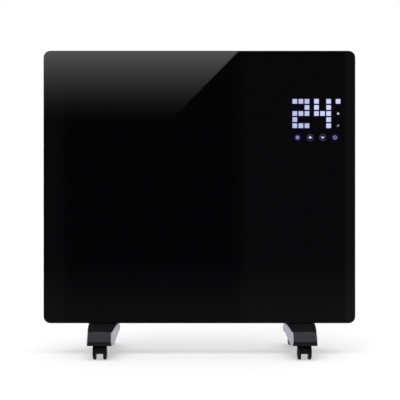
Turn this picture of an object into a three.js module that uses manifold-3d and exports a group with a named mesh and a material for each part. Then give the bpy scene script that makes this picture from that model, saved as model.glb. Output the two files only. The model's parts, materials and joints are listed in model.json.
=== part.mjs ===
// An electric panel heater: a black glass front, a pressed steel housing behind it, and two feet on
// casters. Millimetres, +Z up, and the glass faces -Y. The origin is on the floor, under the middle of the
// glass and midway along the feet. Left and right are as seen from the front.
import * as THREE from "three";
import { mergeVertices } from "three/addons/utils/BufferGeometryUtils.js";
import Module from "manifold-3d";

const wasm = await Module();
wasm.setup();

// Fits
const SEAT_GAP = 0.3; // between two pieces that rest on each other
const PIN_PLAY = 0.2; // radial, between a pin and its bore
const OVERRUN = 1; // how far a cutter runs past the face that it opens

// Glass
const GLASS_WIDTH = 500;
const GLASS_HEIGHT = 437;
const GLASS_THICKNESS = 4;
const GLASS_CORNER_RADIUS = 11;
const GLASS_EDGE_CHAMFER = 0.7;
const GLASS_BOTTOM_HEIGHT = 50; // lower edge above the floor
const BODY_DEPTH = 68; // front of the glass to back of the housing

// Frame glued behind the glass
const FRAME_INSET = 10; // from the glass edge
const FRAME_RAIL_WIDTH = 11;
const FRAME_DEPTH = 6;
const FRAME_CORNER_RADIUS = 9;

// Rear housing
const HOUSING_INSET = 14; // from the glass edge
const HOUSING_WALL = 1.5;
const HOUSING_CORNER_RADIUS = 10;
const HOUSING_EDGE_RADIUS = 7; // round edge between the back and the sides

// Outlet grille in the top of the housing
const GRILLE_FROM_SIDE = 26; // each end from the housing's outer side
const GRILLE_WIDTH = 36;
const GRILLE_THICKNESS = 2;
const GRILLE_LIP = 4; // rests on the housing round the opening
const GRILLE_COLLAR_WALL = 1.5;
const GRILLE_COLLAR_DEPTH = 5;
const GRILLE_SLOT_WIDTH = 7;
const GRILLE_SLOT_MARGIN = 8; // plain metal beside the ends of the slots
const GRILLE_SLOT_PITCH = 17;
const GRILLE_END_MARGIN = 14; // plain metal at each end of the row of slots

// Air slots of the housing
const INTAKE_ROW_TO_FOOT = 49.25; // end of the row to the middle of the foot
const INTAKE_SLOT_WIDTH = 7;
const INTAKE_SLOT_LENGTH = 30;
const INTAKE_SLOT_PITCH = 17;
const REAR_ROW_FROM_SIDE = 86; // each end from the housing's outer side
const REAR_SLOT_WIDTH = 7;
const REAR_SLOT_HEIGHT = 30;
const REAR_SLOT_PITCH = 18;
const REAR_ROW_HEIGHT = 22; // lower end of the slots above the housing's bottom

// Display and touch field
const LIGHT_GUIDE_TO_FRAME = 0.7; // between the light guide and the frame's right rail
const CELL = 8;
const CELL_PITCH = 9.75;
const DIGIT_PITCH = 34.8;
const DIGITS_TO_MARKS = 69.5; // first column to the column of the lamps and the degree cell
const DIGIT_FROM_TOP = 81.1; // middle of the first row below the top of the glass
const DIGIT_COUNT = 2;
const DIGIT_COLUMNS = 3;
const DIGIT_ROWS = 5;
const LAMP_HOLE = 5;
const TOUCH_TO_MARKS = 65.1; // first touch spring to that column
const TOUCH_FROM_TOP = 138.8; // below the top of the glass
const TOUCH_PITCH = 20.25;
const TOUCH_SPRING_RADIUS = 4.5;
const TOUCH_SPRING_WAIST_RADIUS = 3.4;
const TOUCH_MARGIN = 7; // board below the middle of the touch springs
const LIGHT_GUIDE_DEPTH = 9.7;
const LIGHT_GUIDE_MARGIN = 1.5;
const BOARD_THICKNESS = 1.6;

// Control box and the power board in it
const CONTROL_BOX_WIDTH = 90;
const CONTROL_BOX_HEIGHT = 200;
const CONTROL_BOX_WALL = 2;
const CONTROL_BOX_FROM_SIDE = 8.5; // from the housing's outer side
const CONTROL_BOX_FROM_TOP = 48; // from the housing's top
const POST_RADIUS = 3;
const POST_LENGTH = 6;
const POST_INSET = 6; // from the edges of the power board
const POWER_BOARD_TO_SIDE = 5; // from the inside of the control box
const POWER_BOARD_TO_BOTTOM = 12;
const POWER_BOARD_TO_TOP = 54;
const RELAY_WIDTH = 22;
const RELAY_HEIGHT = 16;
const RELAY_DEPTH = 15;
const TERMINAL_WIDTH = 48;
const TERMINAL_HEIGHT = 12;
const TERMINAL_DEPTH = 14;
const TERMINAL_WAYS = 4;
const TERMINAL_HOLE = 5;

// Heating element, its ends and brackets
const ELEMENT_FROM_SIDE = 49.5; // each end of the fins from the inside of the housing
const ELEMENT_RAISE = 71; // axis above the housing's bottom
const ELEMENT_CORE_RADIUS = 8;
const ELEMENT_FIN_SPAN = 62;
const ELEMENT_FIN_THICKNESS = 2.5;
const ELEMENT_FIN_DEGREES = 35;
const ELEMENT_PIN_RADIUS = 4;
const ELEMENT_PIN_LENGTH = 10;
const END_CAP_SIZE = 22;
const END_CAP_LENGTH = 12;
const BRACKET_THICKNESS = 2;
const BRACKET_HEIGHT = 26;
const BRACKET_FLANGE = 15;

// Heat shield and thermal cutout
const SHIELD_THICKNESS = 1;
const SHIELD_MARGIN = 4; // to the inside of the housing
const SHIELD_TO_BOX = 3;
const CUTOUT_RADIUS = 8;
const CUTOUT_BASE_DEPTH = 4;
const CUTOUT_CAP_RADIUS = 5.5;
const CUTOUT_CAP_DEPTH = 3;
const CUTOUT_TO_BOX = 97.5; // its middle from the left side of the control box
const CUTOUT_RAISE = 130; // above the housing's bottom

// Tip-over switch: a weight that hangs from a pin between two ears
const TIP_SWITCH_FROM_SIDE = 46; // its middle from the housing's left side
const TIP_BASE_LENGTH = 30;
const TIP_BASE_WIDTH = 24;
const TIP_BASE_THICKNESS = 2.5;
const TIP_EAR_THICKNESS = 2.5;
const TIP_EAR_WIDTH = 9;
const TIP_PIN_HEIGHT = 29; // above the base's underside
const TIP_PIN_RADIUS = 1.2;
const TIP_EYE_RADIUS = 3.2;
const TIP_EYE_WIDTH = 6;
const TIP_ARM_LENGTH = 14;
const TIP_ARM_THICKNESS = 2.4;
const TIP_WEIGHT_RADIUS = 6;
const TIP_EAR_PLAY = 1; // between the eye and each ear

// Room temperature sensor on the housing's bottom
const SENSOR_TO_FOOT = 28.95; // from the middle of the right foot
const SENSOR_RADIUS = 2.5;
const SENSOR_HEIGHT = 18;
const SENSOR_BASE_SIZE = 10;
const SENSOR_BASE_THICKNESS = 3;

// Mains rocker switch in the right side of the housing
const SWITCH_RAISE = 56; // middle above the housing's bottom
const SWITCH_BEZEL_RIM = 2; // how far the bezel reaches past the body on each side
const SWITCH_BEZEL_THICKNESS = 2;
const SWITCH_BODY_HEIGHT = 20;
const SWITCH_BODY_WIDTH = 13;
const SWITCH_BODY_DEPTH = 14;
const SWITCH_END_WALL = 1.5;
const SWITCH_SIDE_WALL = 1.7;
const SWITCH_MOUTH_DEPTH = 9;
const ROCKER_END_PLAY = 1.3; // between each end of the rocker and the mouth
const ROCKER_WING = 3.8; // height of each end over the pivot
const ROCKER_DIP = 2.6; // height of the middle over the pivot
const ROCKER_END_DEPTH = 0.6; // lower edge of each end over the pivot
const ROCKER_BELLY = 2.4; // depth of the middle under the pivot
const ROCKER_HEEL = 1.6; // half length of the belly's flat
const ROCKER_TILT_DEGREES = 9;
const ROCKER_PIN_RADIUS = 0.9;

// Cord gland in the back of the housing
const GLAND_FROM_SIDE = 44; // its middle from the housing's right side
const GLAND_RAISE = 24; // above the housing's bottom
const GLAND_BORE_RADIUS = 3.8;
const GLAND_BODY_RADIUS = 6;
const GLAND_NECK_LENGTH = 9;
const GLAND_FLANGE_RADIUS = 10;
const GLAND_FLANGE_THICKNESS = 3;
const GLAND_NOSE_LENGTH = 7;
const GLAND_NOSE_RADIUS = 5.4;

// Feet
const FOOT_LENGTH = 220;
const FOOT_FROM_SIDE = 91.1; // middle of each foot from the side of the glass, but for the shift
const FEET_SHIFT = 3.85; // the pair stands this far right of the middle of the glass
const FOOT_WIDTH = 51.6; // at the middle
const HOOD_TO_FOOT = 0.31; // between the hoods of the casters and the underside of the foot
const FOOT_ARCH = 15.8; // rise of the underside at the middle
const FOOT_TO_GLASS = 1.4; // top of the foot's flanks under the glass
const FOOT_NOSE_DROP = 5.5; // top of the nose under the top of the flanks
const FOOT_CROWN = 1; // the top is higher along its middle
const FOOT_NOSE_UNDERCUT = 4;
const FOOT_NOSE_LEAN = 9;
const FOOT_WALL = 2.4;
const FOOT_RIB_WIDTH = 2;
const TRIM_THICKNESS = 2;
const TRIM_BULGE = 0.5;
const TRIM_SETBACK = 2; // ends of the side covers from the ends of the foot
const TRIM_TO_TOP = 1.4; // upper edge of the side covers under the top of the flanks
const SADDLE_TO_FLANK = 6.8; // from the widest line of the flank
const SADDLE_LENGTH = 48;
const SADDLE_SLOPE = 6; // how far each end leans in
const SADDLE_BACK = 3; // middle of the saddle behind the middle of the foot
const FOOT_SCREW_SPACING = 22;
const FOOT_SCREW_RADIUS = 2.4;
const FOOT_SCREW_HEAD_RADIUS = 4.4;
const FOOT_SCREW_HEAD_HEIGHT = 3.4;
const FOOT_SCREW_PROUD = 6; // above the housing's outer bottom
const FOOT_SCREW_BOSS_RADIUS = 7.5;
const FOOT_SCREW_SEAT_DEPTH = 7.5; // head seat above the arch

// Casters
const WHEEL_RADIUS = 10.4;
const WHEEL_WIDTH = 5;
const WHEEL_EDGE_RADIUS = 1.6;
const HOOD_WEB_WIDTH = 10.5; // between the wheels
const AXLE_RADIUS = 1.25;
const AXLE_IN_WHEEL = 3.4;
const HOOD_GAP = 0.6; // between the wheels and the hood
const HOOD_WALL = 0.9;
const HOOD_RIM_RAISE = 3.1; // lower edge of the hood's rim above the axle
const HOOD_WEB_RAISE = 0.5; // lower edge of the web above the axle
const AXLE_BOSS_RADIUS = 2.1; // of the web, round the axle
const HOOD_WHEEL_PLAY = 0.35; // between the web and each wheel
const SWIVEL_TRAIL = 6; // axle from the swivel's axis
const SWIVEL_FROM_NOSE = 25; // swivel's axis from the end of the foot
const SWIVEL_PLATE_RADIUS = 8;
const SWIVEL_PLATE_THICKNESS = 1.8;
const SWIVEL_CLEARANCE = 0.5; // between the swivel plate and the foot
const STEM_RADIUS = 2.5;
const STEM_TO_TOP = 5.1; // top of the stem under the top of the nose
const STEM_ROOT_RAISE = 2.1; // lower end of the stem's bore above the axle
const SOCKET_WALL = 3;

// Numbers of sides of round things
const FINE_SIDES = 24;
const ROUND_SIDES = 16;
const SMALL_SIDES = 12;
const CORNER_STEPS = 6;

// Shares of the foot. The first column is the place from the middle (0) to the end (1).
const FRONT_PLAN_SHARES = [
  [0, 1],
  [0.3, 0.965],
  [0.518, 0.905],
  [0.764, 0.835],
  [1, 0.715],
];
const REAR_PLAN_SHARES = [
  [0, 1],
  [0.3, 0.915],
  [0.518, 0.825],
  [0.764, 0.72],
  [1, 0.62],
];
const FOOT_ARCH_SHARES = [
  [0, 1],
  [0.3, 0.72],
  [0.518, 0.38],
  [0.764, 0],
  [1, 0],
];
const FOOT_TOP_SHARES = [
  [0, 1],
  [0.36, 1],
  [0.92, 0],
  [1, -0.1],
];
const FOOT_TOP_WIDTH_SHARE = 0.905; // the flanks lean in towards the top
const NOSE_LEVEL_SHARE = 0.32; // height of the foremost line of the nose
const FLANK_LEVEL_SHARES = [0, NOSE_LEVEL_SHARE, 0.62, 1];
const CROWN_PLACE_SHARES = [0.6, 0, -0.6];
const FOOT_STATION_SHARES = [0, 0.05, 0.12, 0.19, 0.27, 0.35, 0.43, 0.5];
const FOOT_RIB_SHARES = [-0.56, -0.29, 0.027, 0.31, 0.58]; // places of the cross ribs, from the middle
const EDGE_ROUND_SHARES = [0, 0.5, 1]; // steps of the housing's round edge, of a quarter turn

// Levels and planes that follow from the sizes
const glassTop = GLASS_BOTTOM_HEIGHT + GLASS_HEIGHT;
const glassMiddle = GLASS_BOTTOM_HEIGHT + GLASS_HEIGHT / 2;
const glassFront = -BODY_DEPTH / 2;
const glassBack = glassFront + GLASS_THICKNESS;
const frameFront = glassBack + SEAT_GAP;
const frameBack = frameFront + FRAME_DEPTH;
const housingFront = frameBack + SEAT_GAP;
const housingBack = BODY_DEPTH / 2;
const housingSide = GLASS_WIDTH / 2 - HOUSING_INSET;
const housingBottom = GLASS_BOTTOM_HEIGHT + HOUSING_INSET;
const housingTop = glassTop - HOUSING_INSET;
const innerSide = housingSide - HOUSING_WALL;
const innerBottom = housingBottom + HOUSING_WALL;
const innerTop = housingTop - HOUSING_WALL;
const innerBack = housingBack - HOUSING_WALL;
const housingMiddleY = (housingFront + housingBack) / 2;
const boxRight = housingSide - CONTROL_BOX_FROM_SIDE;
const boxLeft = boxRight - CONTROL_BOX_WIDTH;
const boxTop = housingTop - CONTROL_BOX_FROM_TOP;
const boxBottom = boxTop - CONTROL_BOX_HEIGHT;
const boxBack = innerBack - SEAT_GAP;
const elementHalf = innerSide - ELEMENT_FROM_SIDE;
const elementAxisZ = housingBottom + ELEMENT_RAISE;
const grilleLength = 2 * (housingSide - GRILLE_FROM_SIDE);
const feetSpacing = GLASS_WIDTH - 2 * FOOT_FROM_SIDE;
const footHalf = FOOT_LENGTH / 2;
const footTop = GLASS_BOTTOM_HEIGHT - FOOT_TO_GLASS;
const footNoseTop = footTop - FOOT_NOSE_DROP;
const facetStretch = 1 / Math.cos(Math.PI / FINE_SIDES); // puts the flats of a round thing on its radius
const hoodInnerRadius = WHEEL_RADIUS * facetStretch + HOOD_GAP;
const footBottom = WHEEL_RADIUS + hoodInnerRadius + HOOD_WALL + HOOD_TO_FOOT;
const wheelsOverall = HOOD_WEB_WIDTH + 2 * (HOOD_WHEEL_PLAY + WHEEL_WIDTH);
const swivelY = footHalf - SWIVEL_FROM_NOSE;
const swivelPlateTop = footBottom - SWIVEL_CLEARANCE;
const stemTop = footNoseTop - STEM_TO_TOP;
const stemRoot = WHEEL_RADIUS + STEM_ROOT_RAISE;

// Solids from three.js geometries

/** The closed solid of a geometry. */
function solid(geometry) {
  geometry.deleteAttribute("normal");
  geometry.deleteAttribute("uv");
  const merged = mergeVertices(geometry);
  return new wasm.Manifold(
    new wasm.Mesh({
      numProp: 3,
      vertProperties: merged.attributes.position.array,
      triVerts: new Uint32Array(merged.index.array),
    }),
  );
}

/** The named mesh of a solid. */
function piece(name, body, material) {
  const mesh = body.getMesh();
  const indexed = new THREE.BufferGeometry()
    .setAttribute("position", new THREE.BufferAttribute(mesh.vertProperties, 3))
    .setIndex(new THREE.BufferAttribute(mesh.triVerts, 1));
  const geometry = indexed.toNonIndexed();
  geometry.computeVertexNormals();
  const made = new THREE.Mesh(geometry, material);
  made.name = name;
  return made;
}

const join = (bodies) => bodies.reduce((whole, body) => whole.add(body));
const cut = (body, cutters) => cutters.reduce((left, cutter) => left.subtract(cutter), body);

/** A box between two values of x, of y and of z. */
function block([x0, x1], [y0, y1], [z0, z1]) {
  const geometry = new THREE.BoxGeometry(x1 - x0, y1 - y0, z1 - z0);
  geometry.translate((x0 + x1) / 2, (y0 + y1) / 2, (z0 + z1) / 2);
  return solid(geometry);
}

/** The span of a length about its middle. */
const about = (middle, length) => [middle - length / 2, middle + length / 2];

/** Turns a geometry made along +Y to lie along x, y or z. */
function turnTo(geometry, axis) {
  if (axis === "x") geometry.rotateZ(-Math.PI / 2);
  if (axis === "z") geometry.rotateX(Math.PI / 2);
  return geometry;
}

/** A round bar along an axis between two places on it, with the other two coordinates of its middle. */
function bar(axis, radius, [from, to], middle, sides) {
  const geometry = turnTo(new THREE.CylinderGeometry(radius, radius, to - from, sides), axis);
  const along = (from + to) / 2;
  if (axis === "x") geometry.translate(along, middle[0], middle[1]);
  if (axis === "y") geometry.translate(middle[0], along, middle[1]);
  if (axis === "z") geometry.translate(middle[0], middle[1], along);
  return solid(geometry);
}

/** A turned body from [radius, place along the axis] points, moved by an offset. */
function turned(axis, profile, offset, sides) {
  const points = profile.map(([radius, along]) => new THREE.Vector2(radius, along));
  if (THREE.ShapeUtils.isClockWise(points)) points.reverse();
  const geometry = turnTo(new THREE.LatheGeometry(points, sides, Math.PI / sides), axis);
  geometry.translate(...offset);
  return solid(geometry);
}

/** An outline carried along an axis between two places: [y, z] points along x, [z, x] points along y and
 * [x, y] points along z. */
function prism(axis, outline, [from, to]) {
  const shape = new THREE.Shape(outline.map(([a, b]) => new THREE.Vector2(a, b)));
  const geometry = new THREE.ExtrudeGeometry(shape, { depth: to - from, bevelEnabled: false });
  geometry.translate(0, 0, from);
  const [x, y, z] = [0, 1, 2].map((i) => new THREE.Vector3().setComponent(i, 1));
  const axes = { x: [y, z, x], y: [z, x, y], z: [x, y, z] };
  geometry.applyMatrix4(new THREE.Matrix4().makeBasis(...axes[axis]));
  return solid(geometry);
}

/** The [x, z] points of a rectangle with round corners, anticlockwise from its lower right corner. */
function roundedRectangle([x0, x1], [z0, z1], radius, steps) {
  const corners = [
    [x1 - radius, z0 + radius, -Math.PI / 2],
    [x1 - radius, z1 - radius, 0],
    [x0 + radius, z1 - radius, Math.PI / 2],
    [x0 + radius, z0 + radius, Math.PI],
  ];
  return corners.flatMap(([x, z, start]) =>
    Array.from({ length: steps + 1 }, (_, i) => {
      const angle = start + (i / steps) * (Math.PI / 2);
      return [x + radius * Math.cos(angle), z + radius * Math.sin(angle)];
    }),
  );
}

/** A skin over rings of [x, y, z] points, the same number in each, with strips across both ends. */
function loft(rings) {
  const count = rings[0].length;
  const last = (rings.length - 1) * count;
  const faces = [];
  for (let ring = 0; ring < last; ring += count)
    for (let i = 0; i < count; i++) {
      const next = (i + 1) % count;
      faces.push([ring + i, ring + next, ring + count + next]);
      faces.push([ring + i, ring + count + next, ring + count + i]);
    }
  const strips = [];
  for (let i = 0, j = count - 1; j - i > 1; i++, j--) {
    strips.push([i, i + 1, j]);
    if (j - i > 2) strips.push([i + 1, j - 1, j]);
  }
  faces.push(...strips.map(([a, b, c]) => [a, c, b]));
  faces.push(...strips.map(([a, b, c]) => [last + a, last + b, last + c]));
  const points = rings.flat();
  const volume = faces.reduce((sum, face) => {
    const [p, q, r] = face.map((i) => new THREE.Vector3(...points[i]));
    return sum + p.dot(q.cross(r));
  }, 0);
  const outward = volume > 0 ? faces : faces.map(([a, b, c]) => [a, c, b]);
  const geometry = new THREE.BufferGeometry()
    .setAttribute("position", new THREE.Float32BufferAttribute(points.flat(), 3))
    .setIndex(outward.flat());
  return solid(geometry);
}

/** A row of evenly spaced places about a middle, as many as fit in a length. */
function row(middle, length, pitch) {
  const count = Math.floor(length / pitch) + 1;
  return Array.from({ length: count }, (_, i) => middle + (i - (count - 1) / 2) * pitch);
}

/** The value at a place in a table of [place, value] rows, on one smooth curve. */
function smoothShare(table, place) {
  const slope = (i) => {
    const before = table[Math.max(i - 1, 0)];
    const after = table[Math.min(i + 1, table.length - 1)];
    return (after[1] - before[1]) / (after[0] - before[0]);
  };
  const i = Math.min(Math.max(table.findIndex(([x]) => x >= place) - 1, 0), table.length - 2);
  const [x0, v0] = table[i];
  const [x1, v1] = table[i + 1];
  const span = x1 - x0;
  const t = (place - x0) / span;
  const flat = Math.abs(v1 - v0) < Number.EPSILON;
  const m0 = flat || i === 0 ? 0 : slope(i) * span;
  const m1 = flat ? 0 : slope(i + 1) * span;
  const [t2, t3] = [t * t, t * t * t];
  return (2 * t3 - 3 * t2 + 1) * v0 + (t3 - 2 * t2 + t) * m0 + (3 * t2 - 2 * t3) * v1 + (t3 - t2) * m1;
}

// Materials

const finish = (color, roughness, metalness) =>
  new THREE.MeshStandardMaterial({ color, roughness, metalness });
const materials = {
  glass: finish(0x040206, 0.06, 0),
  steel: finish(0x17171a, 0.5, 0.3),
  zinc: finish(0x9a9da2, 0.4, 0.9),
  aluminium: finish(0xb9bcc2, 0.45, 0.9),
  ceramic: finish(0xe6e2d8, 0.7, 0),
  whitePlastic: finish(0xdedede, 0.6, 0),
  blackPlastic: finish(0x232325, 0.55, 0),
  rubber: finish(0x141415, 0.7, 0),
  silver: finish(0xb2b1bf, 0.35, 0.4),
  board: finish(0x1f5a37, 0.6, 0),
  copper: finish(0xb8733a, 0.35, 0.9),
  relayBlue: finish(0x2c4f8c, 0.5, 0),
};

// Glass, frame and housing

/** The glass: a plate with round corners and chamfered edges. */
function glassPanel() {
  const outline = (inset) =>
    roundedRectangle(
      about(0, GLASS_WIDTH - 2 * inset),
      about(glassMiddle, GLASS_HEIGHT - 2 * inset),
      GLASS_CORNER_RADIUS - inset,
      CORNER_STEPS,
    );
  const layers = [
    [glassFront, GLASS_EDGE_CHAMFER],
    [glassFront + GLASS_EDGE_CHAMFER, 0],
    [glassBack - GLASS_EDGE_CHAMFER, 0],
    [glassBack, GLASS_EDGE_CHAMFER],
  ];
  return loft(layers.map(([y, inset]) => outline(inset).map(([x, z]) => [x, y, z])));
}

/** A flat ring or plate with round corners, inset from the edge of the glass, between two values of y. */
function insetPlate(inset, radius, [y0, y1]) {
  const outline = roundedRectangle(
    about(0, GLASS_WIDTH - 2 * inset),
    about(glassMiddle, GLASS_HEIGHT - 2 * inset),
    radius,
    CORNER_STEPS,
  );
  return loft([y0, y1].map((y) => outline.map(([x, z]) => [x, y, z])));
}

function panelFrame() {
  const outer = insetPlate(FRAME_INSET, FRAME_CORNER_RADIUS, [frameFront, frameBack]);
  const window = insetPlate(
    FRAME_INSET + FRAME_RAIL_WIDTH,
    FRAME_CORNER_RADIUS / 2,
    [frameFront - OVERRUN, frameBack + OVERRUN],
  );
  return cut(outer, [window]);
}

/** A tray-like body with a round edge at its back, as far inside the housing's skin as the inset says. */
function trayBody(inset, front) {
  const back = housingBack - inset;
  const edge = HOUSING_EDGE_RADIUS - inset;
  const radius = HOUSING_CORNER_RADIUS - inset;
  const ring = (y, more) =>
    roundedRectangle(
      about(0, 2 * (housingSide - inset - more)),
      [housingBottom + inset + more, housingTop - inset - more],
      Math.max(radius - more, radius / 2),
      CORNER_STEPS / 2,
    ).map(([x, z]) => [x, y, z]);
  const round = EDGE_ROUND_SHARES.map((share) => {
    const angle = share * (Math.PI / 2);
    return ring(back - edge + edge * Math.sin(angle), edge * (1 - Math.cos(angle)));
  });
  return loft([ring(front, 0), ...round]);
}

/** The bar with chamfered ends that cuts one slot through the back. */
function backSlot(x, width, [z0, z1]) {
  const [x0, x1] = about(x, width);
  const chamfer = width / 3;
  const outline = [
    [z0, x0 + chamfer],
    [z0 + chamfer, x0],
    [z1 - chamfer, x0],
    [z1, x0 + chamfer],
    [z1, x1 - chamfer],
    [z1 - chamfer, x1],
    [z0 + chamfer, x1],
    [z0, x1 - chamfer],
  ];
  return prism("y", outline, [innerBack - OVERRUN, housingBack + OVERRUN]);
}

/** The bar with chamfered ends that cuts one slot through a level plate, between two values of z. */
function levelSlot(x, width, length, [z0, z1]) {
  const [x0, x1] = about(x, width);
  const [y0, y1] = about(housingMiddleY, length);
  const chamfer = width / 3;
  const outline = [
    [x0 + chamfer, y0],
    [x1 - chamfer, y0],
    [x1, y0 + chamfer],
    [x1, y1 - chamfer],
    [x1 - chamfer, y1],
    [x0 + chamfer, y1],
    [x0, y1 - chamfer],
    [x0, y0 + chamfer],
  ];
  return prism("z", outline, [z0, z1]);
}

function rearHousing() {
  const through = [housingBottom - OVERRUN, innerBottom + OVERRUN];
  const intakeLength = feetSpacing - 2 * INTAKE_ROW_TO_FOOT;
  const rearLength = 2 * (housingSide - REAR_ROW_FROM_SIDE);
  const grilleOpening = block(
    about(0, grilleLength - 2 * GRILLE_LIP),
    about(housingMiddleY, GRILLE_WIDTH - 2 * GRILLE_LIP),
    [innerTop - OVERRUN, housingTop + OVERRUN],
  );
  const intakes = row(0, intakeLength, INTAKE_SLOT_PITCH).map((x) =>
    levelSlot(x, INTAKE_SLOT_WIDTH, INTAKE_SLOT_LENGTH, through),
  );
  const rearSlots = row(0, rearLength, REAR_SLOT_PITCH).map((x) =>
    backSlot(x, REAR_SLOT_WIDTH, [
      housingBottom + REAR_ROW_HEIGHT,
      housingBottom + REAR_ROW_HEIGHT + REAR_SLOT_HEIGHT,
    ]),
  );
  const switchHole = block(
    [innerSide - OVERRUN, housingSide + OVERRUN],
    about(housingMiddleY, SWITCH_BODY_WIDTH + 2 * SEAT_GAP),
    about(housingBottom + SWITCH_RAISE, SWITCH_BODY_HEIGHT + 2 * SEAT_GAP),
  );
  const glandHole = bar(
    "y",
    GLAND_BODY_RADIUS + SEAT_GAP,
    [innerBack - OVERRUN, housingBack + OVERRUN],
    [glandX, housingBottom + GLAND_RAISE],
    ROUND_SIDES,
  );
  const screwHoles = [-1, 1].flatMap((side) =>
    footScrewPlaces().map((y) =>
      bar("z", FOOT_SCREW_RADIUS + SEAT_GAP, through, [footX(side), y], SMALL_SIDES),
    ),
  );
  return cut(trayBody(0, housingFront), [
    trayBody(HOUSING_WALL, housingFront - OVERRUN),
    grilleOpening,
    ...intakes,
    ...rearSlots,
    switchHole,
    glandHole,
    ...screwHoles,
  ]);
}

function outletGrille() {
  const plateBottom = housingTop + SEAT_GAP;
  const plate = block(
    about(0, grilleLength),
    about(housingMiddleY, GRILLE_WIDTH),
    [plateBottom, plateBottom + GRILLE_THICKNESS],
  );
  const collarInset = GRILLE_LIP + SEAT_GAP;
  const collar = (inset, [z0, z1]) =>
    block(
      about(0, grilleLength - 2 * inset),
      about(housingMiddleY, GRILLE_WIDTH - 2 * inset),
      [z0, z1],
    );
  const collarWall = cut(collar(collarInset, [plateBottom - GRILLE_COLLAR_DEPTH, plateBottom]), [
    collar(collarInset + GRILLE_COLLAR_WALL, [plateBottom - GRILLE_COLLAR_DEPTH - OVERRUN, plateBottom]),
  ]);
  const slots = row(0, grilleLength - 2 * GRILLE_END_MARGIN, GRILLE_SLOT_PITCH).map((x) =>
    levelSlot(x, GRILLE_SLOT_WIDTH, GRILLE_WIDTH - 2 * GRILLE_SLOT_MARGIN, [
      plateBottom - OVERRUN,
      plateBottom + GRILLE_THICKNESS + OVERRUN,
    ]),
  );
  return cut(plate, slots).add(collarWall);
}

// Display, touch field and electronics

const lightGuideRight = GLASS_WIDTH / 2 - FRAME_INSET - FRAME_RAIL_WIDTH - LIGHT_GUIDE_TO_FRAME;
const marksX = lightGuideRight - LIGHT_GUIDE_MARGIN - CELL / 2;
const digitX = marksX - DIGITS_TO_MARKS;
const lightGuideX = [digitX - CELL / 2 - LIGHT_GUIDE_MARGIN, lightGuideRight];
const lightGuideZ = [
  glassTop - DIGIT_FROM_TOP - (DIGIT_ROWS - 1) * CELL_PITCH - CELL / 2 - LIGHT_GUIDE_MARGIN,
  glassTop - DIGIT_FROM_TOP + CELL / 2 + LIGHT_GUIDE_MARGIN,
];
const lightGuideBack = frameFront + LIGHT_GUIDE_DEPTH;
const displayBoardFront = lightGuideBack + SEAT_GAP;
const displayBoardBack = displayBoardFront + BOARD_THICKNESS;

/** The light guide: an opaque block with a square tunnel for each lit cell and one for each lamp. */
function lightGuide() {
  const tunnel = (x, z, size) =>
    block(about(x, size), [frameFront - OVERRUN, lightGuideBack + OVERRUN], about(z, size));
  const tunnels = [];
  for (let digit = 0; digit < DIGIT_COUNT; digit++)
    for (let column = 0; column < DIGIT_COLUMNS; column++)
      for (let line = 0; line < DIGIT_ROWS; line++) {
        const x = digitX + digit * DIGIT_PITCH + column * CELL_PITCH;
        tunnels.push(tunnel(x, glassTop - DIGIT_FROM_TOP - line * CELL_PITCH, CELL));
      }
  tunnels.push(tunnel(marksX, glassTop - DIGIT_FROM_TOP, CELL));
  for (const line of [DIGIT_ROWS - 3, DIGIT_ROWS - 1])
    tunnels.push(tunnel(marksX, glassTop - DIGIT_FROM_TOP - line * CELL_PITCH, LAMP_HOLE));
  return cut(block(lightGuideX, [frameFront, lightGuideBack], lightGuideZ), tunnels);
}

function displayBoard() {
  const bottom = glassTop - TOUCH_FROM_TOP - TOUCH_MARGIN;
  const width = [boxLeft + CONTROL_BOX_WALL / 2, lightGuideRight];
  return block(width, [displayBoardFront, displayBoardBack], [bottom, lightGuideZ[1]]);
}

/** One touch spring: a waisted barrel between the board and the glass. */
function touchSpring(index) {
  const length = displayBoardFront - frameFront - SEAT_GAP;
  const profile = [
    [0, 0],
    [TOUCH_SPRING_RADIUS, 0],
    [TOUCH_SPRING_WAIST_RADIUS, length / 2],
    [TOUCH_SPRING_RADIUS, length],
    [0, length],
  ];
  const x = marksX - TOUCH_TO_MARKS + index * TOUCH_PITCH;
  return turned("y", profile, [x, frameFront, glassTop - TOUCH_FROM_TOP], SMALL_SIDES);
}

const boxMiddle = (boxLeft + boxRight) / 2;
const powerBoardX = [
  boxLeft + CONTROL_BOX_WALL + POWER_BOARD_TO_SIDE,
  boxRight - CONTROL_BOX_WALL - POWER_BOARD_TO_SIDE,
];
const powerBoardZ = [
  boxBottom + CONTROL_BOX_WALL + POWER_BOARD_TO_BOTTOM,
  boxTop - CONTROL_BOX_WALL - POWER_BOARD_TO_TOP,
];
const powerBoardBack = boxBack - CONTROL_BOX_WALL - POST_LENGTH - SEAT_GAP;
const powerBoardFront = powerBoardBack - BOARD_THICKNESS;

/** The control box: a tray open to the front, with four posts for the power board. */
function controlBox() {
  const front = displayBoardBack + SEAT_GAP;
  const shell = block([boxLeft, boxRight], [front, boxBack], [boxBottom, boxTop]);
  const hollow = block(
    [boxLeft + CONTROL_BOX_WALL, boxRight - CONTROL_BOX_WALL],
    [front - OVERRUN, boxBack - CONTROL_BOX_WALL],
    [boxBottom + CONTROL_BOX_WALL, boxTop - CONTROL_BOX_WALL],
  );
  const postSpan = [powerBoardBack + SEAT_GAP, boxBack - CONTROL_BOX_WALL / 2];
  const posts = [powerBoardX[0] + POST_INSET, powerBoardX[1] - POST_INSET].flatMap((x) =>
    [powerBoardZ[0] + POST_INSET, powerBoardZ[1] - POST_INSET].map((z) =>
      bar("y", POST_RADIUS, postSpan, [x, z], SMALL_SIDES),
    ),
  );
  return join([cut(shell, [hollow]), ...posts]);
}

const powerBoard = () => block(powerBoardX, [powerBoardFront, powerBoardBack], powerBoardZ);

function relay() {
  const z = powerBoardZ[1] - POST_INSET - RELAY_HEIGHT;
  const back = powerBoardFront - SEAT_GAP;
  return block(about(boxMiddle, RELAY_WIDTH), [back - RELAY_DEPTH, back], about(z, RELAY_HEIGHT));
}

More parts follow.
